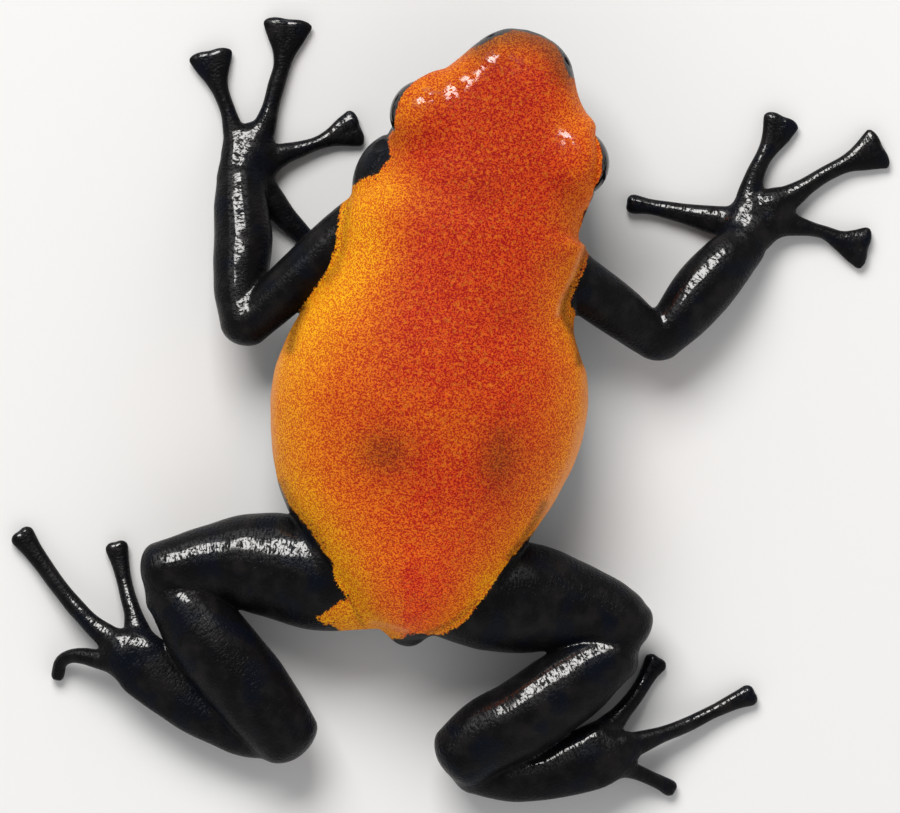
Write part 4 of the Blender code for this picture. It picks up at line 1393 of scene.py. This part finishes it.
        # painted shade from the darkening spots and strokes, painted sheen from the paling strokes, and
        # wetness
        painted_shade, pale, wet = (np.zeros(len(height)) for _ in range(3))
        for spot in SPOTS:
            x = (self.plan[:, 0] - spot.right) / spot.across
            y = (self.plan[:, 1] - spot.ahead) / spot.along
            near = np.exp(-(x * x + y * y))
            painted_shade = painted_shade + spot.painted_shade * near
            gold = gold + spot.gold * near
        for stroke in STROKES:
            near = np.exp(-((distance_to_path(self.plan, stroke.path) / stroke.width) ** 2))
            painted_shade = np.maximum(painted_shade, stroke.painted_shade * near)
            pale = np.maximum(pale, stroke.pale * near)
            wet = np.maximum(wet, stroke.wet * near)
        facing = (self.outward @ np.array(WET_WAY) - WET_FROM) / WET_OVER
        return {
            "cloak": cloak,
            "gold": np.clip(gold, 0.0, 1.0),
            "painted_shade": np.clip(painted_shade, 0.0, 1.0),
            # the pale mark lays a painted sheen on the cloak's edges
            "pale": np.clip(pale, 0.0, 1.0),
            "light": light,
            "wet": np.where(self.on_trunk > 0.5, np.where(cloak > 0.0, wet, 0.0), 1.0) * ease(facing),
            "limb": self.on_limb,
            "along": self._along_limbs(),
        }

    def _along_limbs(self) -> Array:
        """Finds how far along its limb each point lies.

        Returns:
            Distances along the limbs' middle lines, in millimetres.
        """
        tubes = (*self.flesh.segments, *self.flesh.digits)
        travels = []
        for tube in tubes:
            steps = np.linalg.norm(np.diff(tube.line, axis=0), axis=1)
            travels.append(np.concatenate([[0.0], np.cumsum(steps)]))
        line = np.concatenate([tube.line for tube in tubes])
        forward = np.concatenate([tube.forward for tube in tubes])
        radius = np.concatenate([tube.rows[:, [WIDE, RISE]].mean(axis=1) for tube in tubes])
        travel = np.concatenate(travels)
        along = np.zeros(len(self.points))
        for first in range(0, len(self.points), POINTS_AT_ONCE):
            part = slice(first, first + POINTS_AT_ONCE)
            points = self.points[part]
            square = (points**2).sum(axis=1)[:, None] - 2 * points @ line.T + (line**2).sum(axis=1)
            nearest = (np.sqrt(np.maximum(square, 0.0)) - radius).argmin(axis=1)
            beyond = ((points - line[nearest]) * forward[nearest]).sum(axis=1)
            along[part] = travel[nearest] + beyond
        return along


class Sheet:
    """One node tree, with short calls that lay nodes on it."""

    def __init__(self, tree: bpy.types.NodeTree) -> None:
        """Takes the tree."""
        self.tree = tree

    def add(self, kind: str, sockets: dict[Any, Any] | None = None, **settings: Any) -> bpy.types.Node:
        """Lays a node on the sheet.

        Args:
            kind: Its type, without the leading words.
            sockets: Values or wires for its inputs, by name or number.
            settings: Its other settings.

        Returns:
            The node.
        """
        node = self.tree.nodes.new("ShaderNode" + kind)
        for name, value in settings.items():
            setattr(node, name, value)
        for name, value in (sockets or {}).items():
            if isinstance(value, bpy.types.NodeSocket):
                self.tree.links.new(value, node.inputs[name])
            else:
                node.inputs[name].default_value = value
        return node

    def math(self, operation: str, *values: Any) -> bpy.types.NodeSocket:
        """Lays a calculation and gives its result."""
        return self.add("Math", dict(enumerate(values)), operation=operation).outputs[0]

    def noise(self, place: Any, scale: float, detail: float = 0.0, distortion: float = 0.0) -> Any:
        """Lays a smooth noise.

        Args:
            place: Where it is read, in millimetres.
            scale: Its cells to a millimetre.
            detail: How many finer noises are added.
            distortion: How far it is stirred.

        Returns:
            Its value.
        """
        sockets = {"Vector": place, "Scale": scale, "Detail": detail, "Distortion": distortion}
        return self.add("TexNoise", sockets).outputs["Fac"]

    def step(self, value: Any, low: Any, high: Any, start: Any = 0.0, end: Any = 1.0) -> bpy.types.NodeSocket:
        """Lays a smooth step.

        Args:
            value: The value that is stepped.
            low: Where the step begins.
            high: Where it ends.
            start: The result before it.
            end: The result after it.

        Returns:
            The result.
        """
        sockets = {0: value, 1: low, 2: high, 3: start, 4: end}
        return self.add("MapRange", sockets, interpolation_type="SMOOTHSTEP").outputs[0]

    def mix(self, share: Any, first: Any, second: Any) -> bpy.types.NodeSocket:
        """Mixes two colours.

        Args:
            share: Share of the second.
            first: The first colour.
            second: The second colour.

        Returns:
            The mixed colour.
        """
        first = (*first, 1.0) if isinstance(first, tuple) else first
        second = (*second, 1.0) if isinstance(second, tuple) else second
        sockets = {0: share, 6: first, 7: second}
        return self.add("Mix", sockets, data_type="RGBA").outputs[2]

    def ramp(self, value: Any, stops: Sequence[tuple[float, Colour]]) -> bpy.types.NodeSocket:
        """Turns a value into a colour.

        Args:
            value: The value.
            stops: The colours and where they lie.

        Returns:
            The colour.
        """
        node = self.add("ValToRGB", {0: value})
        bar = node.color_ramp.elements
        while len(bar) < len(stops):
            bar.new(0.5)
        for element, (place, colour) in zip(bar, stops):
            element.position = place
            element.color = (*colour, 1.0)
        return node.outputs[0]

    def mark(self, name: str) -> bpy.types.NodeSocket:
        """Reads one of the skin's marks."""
        return self.add("Attribute", attribute_name=name).outputs["Fac"]


class Effect:
    """A shader node group that several looks can share."""

    def __init__(self, name: str, inputs: dict[str, str], outputs: dict[str, str]) -> None:
        """Makes the group and its sockets.

        Args:
            name: The group's name.
            inputs: Kinds of its inputs, by name.
            outputs: Kinds of its outputs, by name.
        """
        self.tree = bpy.data.node_groups.new(name, "ShaderNodeTree")
        for names, way in ((inputs, "INPUT"), (outputs, "OUTPUT")):
            for socket, kind in names.items():
                self.tree.interface.new_socket(socket, in_out=way, socket_type="NodeSocket" + kind)
        self.sheet = Sheet(self.tree)
        self.given = self.tree.nodes.new("NodeGroupInput").outputs
        self.result = self.tree.nodes.new("NodeGroupOutput").inputs

    def give(self, name: str, wire: bpy.types.NodeSocket) -> None:
        """Sends a wire to one of the outputs."""
        self.tree.links.new(wire, self.result[name])

    def use(self, sheet: Sheet, sockets: dict[str, Any]) -> Any:
        """Lays the group on a sheet and gives its outputs."""
        return sheet.add("Group", sockets, node_tree=self.tree).outputs


@dataclass(frozen=True)
class OrangeLook:
    """The colours of the cloak: fine dark worms of red on a ground that runs from orange to gold, with
    painted light, painted shade and painted sheen laid over them.
    """

    dark_red: Colour = (0.355, 0.009, 0.008)
    dark_amber: Colour = (0.49, 0.050, 0.008)
    dark_gold: Colour = (0.64, 0.135, 0.006)
    pale_red: Colour = (0.68, 0.076, 0.010)
    pale_amber: Colour = (0.82, 0.245, 0.010)
    pale_gold: Colour = (0.92, 0.475, 0.008)
    # colour of the painted sheen along the flanks' edges
    rim: Colour = (0.80, 0.33, 0.13)
    # colour of the painted shade in the folds
    brown: Colour = (0.10, 0.026, 0.007)
    dash: Colour = (0.92, 0.33, 0.02)
    worms: float = 9.8
    worm_edges: tuple[float, float] = (0.41, 0.61)
    worm_height: float = 0.4
    broad_patches: float = 0.42
    small_patches: float = 1.7
    patch_middle: float = 0.6
    broad_pull: float = 0.3
    small_pull: float = 0.25
    dashes: float = 4.2
    dash_edges: tuple[float, float] = (0.60, 0.70)
    dash_share: float = 0.2
    painted_sheen_breaks: tuple[float, float, float, float] = (0.25, 0.6, 0.55, 1.0)
    painted_shade_breaks: tuple[float, float, float, float] = (0.35, 0.62, 1.0, 0.62)
    granules: float = 4.5
    granule_edges: tuple[float, float] = (0.38, 0.5)
    granule_height: float = 2.0
    puddles: float = 1.3
    puddle_edges: tuple[float, float] = (0.45, 0.52)

    def effect(self) -> Effect:
        """Builds the cloak's colouring.

        Returns:
            A group that gives its colour, the height of its relief and where its grains catch the light.
        """
        inputs = {"Place": "Vector", "Gold": "Float", "Light": "Float", "Painted_shade": "Float", "Pale": "Float"}
        made = Effect("cloak_mottling", inputs, {"Colour": "Color", "Height": "Float", "Shine": "Float"})
        sheet, given = made.sheet, made.given
        place = given["Place"]
        broad = sheet.noise(place, self.broad_patches, detail=2.0)
        small = sheet.noise(place, self.small_patches, detail=1.0)
        broad_shift = sheet.math("SUBTRACT", broad, self.patch_middle)
        gold = sheet.math("MULTIPLY_ADD", broad_shift, self.broad_pull, given["Gold"])
        small_shift = sheet.math("SUBTRACT", small, self.patch_middle)
        gold = sheet.math("MULTIPLY_ADD", small_shift, self.small_pull, gold)
        worm = sheet.noise(place, self.worms, detail=0.6, distortion=0.5)
        paler = sheet.step(worm, *self.worm_edges)
        dark = sheet.ramp(gold, [(0.0, self.dark_red), (0.5, self.dark_amber), (1.0, self.dark_gold)])
        pale = sheet.ramp(gold, [(0.0, self.pale_red), (0.5, self.pale_amber), (1.0, self.pale_gold)])
        # the colour is scaled by the painted light
        scaled = {0: sheet.mix(paler, dark, pale), "Scale": given["Light"]}
        colour = sheet.add("VectorMath", scaled, operation="SCALE").outputs[0]
        dashes = sheet.step(sheet.noise(place, self.dashes), *self.dash_edges)
        colour = sheet.mix(sheet.math("MULTIPLY", dashes, self.dash_share), colour, self.dash)
        # painted sheen along the flanks' edges and beside the folds, broken up by the small patches
        rim = sheet.math("MULTIPLY", given["Pale"], sheet.step(small, *self.painted_sheen_breaks))
        colour = sheet.mix(rim, colour, self.rim)
        # painted shade in the folds, broken up by the worms
        painted_shade = sheet.math("MULTIPLY", given["Painted_shade"], sheet.step(worm, *self.painted_shade_breaks))
        colour = sheet.mix(painted_shade, colour, self.brown)
        made.give("Colour", colour)
        granule = sheet.noise(place, self.granules, detail=1.0, distortion=0.4)
        raised = sheet.math("MULTIPLY", paler, self.worm_height)
        made.give("Height", sheet.math("MULTIPLY_ADD", granule, self.granule_height, raised))
        puddle = sheet.step(sheet.noise(place, self.puddles, detail=1.0), *self.puddle_edges)
        made.give("Shine", sheet.math("MULTIPLY", sheet.step(granule, *self.granule_edges), puddle))
        return made


@dataclass(frozen=True)
class EdgeLook:
    """The ragged edge of the cloak, and the dark specks that break away into it."""

    coarse: float = 3.0
    coarse_reach: float = 0.27
    fine: float = 9.0
    fine_reach: float = 0.27
    softness: tuple[float, float] = (-0.03, 0.05)
    specks: float = 3.4
    speck_reach: float = 1.0
    speck_size: float = 0.30
    speck_edges: tuple[float, float] = (-0.05, 0.02)
    speck_share: tuple[float, float] = (0.35, 0.4)

    def effect(self) -> Effect:
        """Builds the cloak's mask.

        Returns:
            A group that gives 1 on the cloak and 0 on the black skin.
        """
        made = Effect("cloak_edge", {"Place": "Vector", "Inside": "Float"}, {"Mask": "Float"})
        sheet, given = made.sheet, made.given
        coarse = sheet.math("SUBTRACT", sheet.noise(given["Place"], self.coarse, detail=1.0), 0.5)
        fine = sheet.math("SUBTRACT", sheet.noise(given["Place"], self.fine, detail=1.0), 0.5)
        edge = sheet.math("MULTIPLY_ADD", coarse, self.coarse_reach, given["Inside"])
        edge = sheet.math("MULTIPLY_ADD", fine, self.fine_reach, edge)
        mask = sheet.step(edge, *self.softness)
        cell = sheet.add("TexVoronoi", {"Vector": given["Place"], "Scale": self.specks})
        size = sheet.step(given["Inside"], 0.0, self.speck_reach, self.speck_size, 0.0)
        speck = sheet.step(sheet.math("SUBTRACT", cell.outputs["Distance"], size), *self.speck_edges)
        often = sheet.step(cell.outputs["Color"], *self.speck_share)
        kept = sheet.math("MAXIMUM", speck, often)
        made.give("Mask", sheet.math("MULTIPLY", mask, kept))
        return made


@dataclass(frozen=True)
class LeatherLook:
    """The black skin: almost no colour, with fine grains and crosswise wrinkles that break up its shine, and
    patches of painted bluish reflection.
    """

    black: Colour = (0.0047, 0.0045, 0.0053)
    worn: Colour = (0.0125, 0.0112, 0.0110)
    # colour of the painted bluish reflection, laid in slow patches
    painted_blue_reflection: Colour = (0.0038, 0.0050, 0.0092)
    grains: float = 7.0
    grain_edges: tuple[float, float] = (0.34, 0.5)
    grain_height: float = 2.0
    wrinkles: float = 7.0
    wrinkle_edges: tuple[float, float] = (0.38, 0.54)
    wrinkle_height: float = 2.0
    stretch: float = 0.36
    worn_patches: float = 0.8
    worn_edges: tuple[float, float] = (0.4, 0.75)
    painted_reflection_patches: float = 0.55
    painted_reflection_edges: tuple[float, float] = (0.5, 0.68)

    def effect(self) -> Effect:
        """Builds the black skin's colour and relief.

        Returns:
            A group that gives its colour, the height of its relief and where its grains catch the light.
        """
        inputs = {"Place": "Vector", "Along": "Float", "Limb": "Float"}
        made = Effect("black_leather", inputs, {"Colour": "Color", "Height": "Float", "Shine": "Float"})
        sheet, given = made.sheet, made.given
        place = given["Place"]
        slow = sheet.add("VectorMath", {0: place, "Scale": self.stretch}, operation="SCALE").outputs[0]
        split = sheet.add("SeparateXYZ", {0: slow})
        turned = {0: given["Along"], 1: split.outputs[0], 2: split.outputs[1]}
        crosswise = sheet.add("CombineXYZ", turned).outputs[0]
        wrinkle = sheet.noise(crosswise, self.wrinkles, detail=1.0, distortion=0.5)
        grain = sheet.noise(place, self.grains, detail=1.0)
        tone = sheet.step(sheet.noise(place, self.worn_patches, detail=2.0), *self.worn_edges)
        # patches of painted bluish reflection on the black
        painted_reflection = sheet.step(sheet.noise(place, self.painted_reflection_patches, detail=1.0), *self.painted_reflection_edges)
        made.give("Colour", sheet.mix(painted_reflection, sheet.mix(tone, self.black, self.worn), self.painted_blue_reflection))
        wrinkled = sheet.math("MULTIPLY", wrinkle, sheet.math("MULTIPLY", given["Limb"], self.wrinkle_height))
        made.give("Height", sheet.math("MULTIPLY_ADD", grain, self.grain_height, wrinkled))
        ridge = sheet.step(wrinkle, *self.wrinkle_edges)
        made.give("Shine", sheet.math("MULTIPLY", ridge, sheet.step(grain, *self.grain_edges)))
        return made


@dataclass(frozen=True)
class SkinLook:
    """The whole skin's finish: the wet orange cloak over black leather."""

    cloak: OrangeLook = OrangeLook()
    edge: EdgeLook = EdgeLook()
    leather: LeatherLook = LeatherLook()
    relief: float = 0.000024
    cloak_roughness: float = 0.55
    black_roughness: float = 0.3
    coat_roughness: float = 0.1
    coat_ior: float = 1.75
    base_gloss: float = 0.07
    fully_wet: float = 0.9

    def material(self) -> bpy.types.Material:
        """Makes the skin's material.

        Returns:
            The material.
        """
        made = bpy.data.materials.new("frog_skin")
        made.use_nodes = True
        sheet = Sheet(made.node_tree)
        shader = made.node_tree.nodes["Principled BSDF"]
        object_place = sheet.add("TexCoord").outputs["Object"]
        scale = {0: object_place, "Scale": 1.0 / METRES_PER_MM}
        place = sheet.add("VectorMath", scale, operation="SCALE").outputs[0]
        names = ("cloak", "gold", "light", "painted_shade", "pale", "wet", "limb", "along")
        marks = {name: sheet.mark(name) for name in names}
        # gold, painted light, painted shade and painted sheen, which the cloak's colours follow
        shades = {name.capitalize(): marks[name] for name in ("gold", "light", "painted_shade", "pale")}
        orange = self.cloak.effect().use(sheet, {"Place": place, **shades})
        on_limb = {"Place": place, "Along": marks["along"], "Limb": marks["limb"]}
        black = self.leather.effect().use(sheet, on_limb)
        mask = self.edge.effect().use(sheet, {"Place": place, "Inside": marks["cloak"]})["Mask"]
        links = made.node_tree.links
        links.new(sheet.mix(mask, black["Colour"], orange["Colour"]), shader.inputs["Base Color"])
        roughness = sheet.step(mask, 0.0, 1.0, self.black_roughness, self.cloak_roughness)
        links.new(roughness, shader.inputs["Roughness"])
        shine = sheet.step(mask, 0.0, 1.0, black["Shine"], orange["Shine"])
        coat = sheet.math("MULTIPLY", sheet.step(marks["wet"], 0.0, self.fully_wet), shine)
        links.new(coat, shader.inputs["Coat Weight"])
        shader.inputs["Coat Roughness"].default_value = self.coat_roughness
        shader.inputs["Coat IOR"].default_value = self.coat_ior
        shader.inputs["Specular IOR Level"].default_value = self.base_gloss
        share = {0: mask, 2: black["Height"], 3: orange["Height"]}
        height = sheet.add("Mix", share, data_type="FLOAT").outputs[0]
        bump = sheet.add("Bump", {"Height": height, "Distance": self.relief, "Strength": 1.0})
        links.new(bump.outputs["Normal"], shader.inputs["Normal"])
        return made


@dataclass(frozen=True)
class Eye:
    """One eye: a dark polished ball with a faint brown ring round a black pupil."""

    side: Side
    iris: float = 0.62
    iris_fade: float = 0.12
    pupil: float = 0.38
    pupil_fade: float = 0.05
    flecks: float = 22.0
    fleck_edges: tuple[float, float] = (0.4, 0.7)
    polish_edges: tuple[float, float] = (0.3, 0.7)
    black: Colour = (0.003, 0.003, 0.0035)
    dark_brown: Colour = (0.012, 0.006, 0.003)
    brown: Colour = (0.05, 0.022, 0.008)
    roughness: tuple[float, float] = (0.06, 0.12)
    gloss: float = 0.3

    def build(self) -> bpy.types.Object:
        """Makes the ball, its pole turned the way the eye looks.

        Returns:
            The object, with its material.
        """
        name = f"eyeball_{self.side.name.lower()}"
        mesh = bpy.data.meshes.new(name)
        bm = bmesh.new()
        bmesh.ops.create_uvsphere(bm, u_segments=96, v_segments=64, radius=EYE_RADIUS)
        look = Vector(Lid(self.side).look)
        place = Vector(row_place(*head_place(self.side.value * EYE_OUT, 0.0), EYE_UP))
        turn = look.to_track_quat("Z", "Y").to_matrix().to_4x4()
        bm.transform(Matrix.Scale(METRES_PER_MM, 4) @ Matrix.Translation(place) @ turn)
        bm.to_mesh(mesh)
        bm.free()
        mesh.shade_smooth()
        made = bpy.data.objects.new(name, mesh)
        bpy.context.scene.collection.objects.link(made)
        mesh.materials.append(self._material(name, place, look))
        return made

    def _material(self, name: str, place: Vector, look: Vector) -> bpy.types.Material:
        """Makes the eye's finish.

        Args:
            name: The material's name.
            place: The eye's centre, in millimetres.
            look: The way it looks.

        Returns:
            The material.
        """
        made = bpy.data.materials.new(name)
        made.use_nodes = True
        sheet = Sheet(made.node_tree)
        shader = made.node_tree.nodes["Principled BSDF"]
        where = sheet.add("TexCoord").outputs["Object"]
        centre = tuple(place * METRES_PER_MM)
        offset = sheet.add("VectorMath", {0: where, 1: centre}, operation="SUBTRACT").outputs[0]
        unit = sheet.add("VectorMath", {0: offset}, operation="NORMALIZE").outputs[0]
        facing = sheet.add("VectorMath", {0: unit, 1: tuple(look)}, operation="DOT_PRODUCT").outputs["Value"]
        off_axis = sheet.math("SINE", sheet.math("ARCCOSINE", facing))
        fleck = sheet.noise(unit, self.flecks, detail=3.0)
        beyond_pupil = sheet.step(off_axis, self.pupil, self.pupil + self.pupil_fade)
        within_iris = sheet.step(off_axis, self.iris, self.iris + self.iris_fade, 1.0, 0.0)
        ring = sheet.math("MULTIPLY", beyond_pupil, within_iris)
        brown = sheet.mix(sheet.step(fleck, *self.fleck_edges), self.dark_brown, self.brown)
        colour = sheet.mix(ring, self.black, brown)
        made.node_tree.links.new(colour, shader.inputs["Base Color"])
        roughness = sheet.step(fleck, *self.polish_edges, *self.roughness)
        made.node_tree.links.new(roughness, shader.inputs["Roughness"])
        shader.inputs["Specular IOR Level"].default_value = self.gloss
        return made


@dataclass(frozen=True)
class Studio:
    """The floor, the lights and the camera, in metres and watts."""

    distance: float = 2.0
    span: float = 0.0549
    above: float = 0.005
    turn: float = math.radians(10.0)
    middle: tuple[float, float] = (0.606, -2.03)  # right and ahead, in millimetres
    sensor: float = 36.0
    nearest: float = 0.01
    floor_size: float = 1.6
    floor_tone: float = 0.92
    floor_roughness: float = 0.9
    key_power: float = 5.6
    key_tint: Colour = (1.0, 0.985, 0.96)
    key_size: tuple[float, float] = (0.5, 0.4)
    key_place: tuple[float, float, float] = (0.26, -0.49, 0.55)
    around: float = 0.42
    overhead: float = 0.1
    overhead_from: tuple[float, float] = (0.6, 0.92)
    behind: float = 2.3
    behind_from: tuple[float, float] = (-0.2, 0.8)
    fill_way: tuple[float, float, float] = (-0.47, 0.88, 0.0)

    def build(self) -> None:
        """Sets up the floor, the lights, the surroundings and the camera."""
        self._floor()
        self._key_light()
        self._surroundings()
        bpy.context.scene.view_settings.view_transform = "Standard"
        self._camera()

    def _surroundings(self) -> None:
        """Surrounds the animal with soft light, strongest opposite the key light and dim straight above."""
        world = bpy.data.worlds.new("studio")
        world.use_nodes = True
        sheet = Sheet(world.node_tree)
        way = sheet.add("TexCoord").outputs["Generated"]
        height = sheet.math("ABSOLUTE", sheet.add("SeparateXYZ", {0: way}).outputs[2])
        strength = sheet.step(height, *self.overhead_from, self.around, self.overhead)
        ways = {0: way, 1: self.fill_way}
        opposite = sheet.add("VectorMath", ways, operation="DOT_PRODUCT").outputs["Value"]
        strength = sheet.math("MULTIPLY", strength, sheet.step(opposite, *self.behind_from, 1.0, self.behind))
        background = world.node_tree.nodes["Background"]
        world.node_tree.links.new(strength, background.inputs["Strength"])
        background.inputs["Color"].default_value = (1.0, 1.0, 1.0, 1.0)
        bpy.context.scene.world = world

    def _floor(self) -> None:
        """Lays the plain pale floor."""
        half = self.floor_size / 2
        mesh = bpy.data.meshes.new("floor")
        corners = [(-half, -half, 0.0), (half, -half, 0.0), (half, half, 0.0), (-half, half, 0.0)]
        mesh.from_pydata(corners, [], [(0, 1, 2, 3)])
        pale = bpy.data.materials.new("floor")
        pale.use_nodes = True
        shader = pale.node_tree.nodes["Principled BSDF"]
        shader.inputs["Base Color"].default_value = (self.floor_tone,) * 3 + (1.0,)
        shader.inputs["Roughness"].default_value = self.floor_roughness
        mesh.materials.append(pale)
        made = bpy.data.objects.new("floor", mesh)
        bpy.context.scene.collection.objects.link(made)

    def _key_light(self) -> None:
        """Hangs the one lamp, a soft oblong that faces the animal."""
        lamp = bpy.data.lights.new("key_light", "AREA")
        lamp.shape = "RECTANGLE"
        lamp.energy = self.key_power
        lamp.color = self.key_tint
        lamp.size, lamp.size_y = self.key_size
        made = bpy.data.objects.new("key_light", lamp)
        made.location = self.key_place
        made.rotation_euler = (-Vector(self.key_place)).to_track_quat("-Z", "Y").to_euler()
        bpy.context.scene.collection.objects.link(made)

    def _camera(self) -> None:
        """Hangs the camera straight above, turned so that the animal lies as in the photograph."""
        camera = bpy.data.cameras.new("camera")
        camera.sensor_width = self.sensor
        camera.lens = self.sensor * (self.distance - self.above) / self.span
        camera.clip_start = self.nearest
        made = bpy.data.objects.new("camera", camera)
        made.location = (-self.middle[0] * METRES_PER_MM, -self.middle[1] * METRES_PER_MM, self.distance)
        made.rotation_euler = (0.0, 0.0, math.pi + self.turn)
        bpy.context.scene.collection.objects.link(made)
        bpy.context.scene.camera = made


def flesh_nodes() -> list[str]:
    """The names of the solids that the skin stands for."""
    return [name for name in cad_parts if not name.startswith("eye_")]


def main() -> None:
    """Builds the skin, the eyes and the studio, in that order."""
    logging.basicConfig(level=logging.INFO, format="%(name)s: %(message)s")
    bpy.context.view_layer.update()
    flesh = Flesh()
    flesh.build()
    log.info("flesh joined from %d pieces", len(flesh.segments) + len(flesh.digits) + 1)
    skin = Skin(flesh).build("skin")
    skin.data.materials.append(SkinLook().material())
    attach(skin, "root")
    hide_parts(*flesh_nodes())
    log.info("skin drawn with %d points", len(skin.data.vertices))
    for side in Side:
        ball = Eye(side).build()
        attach(ball, "root")
        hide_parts(f"eye_{side.name.lower()}")
    log.info("eyes set")
    Studio().build()
    log.info("studio set up")


if __name__ == "__main__":
    main()
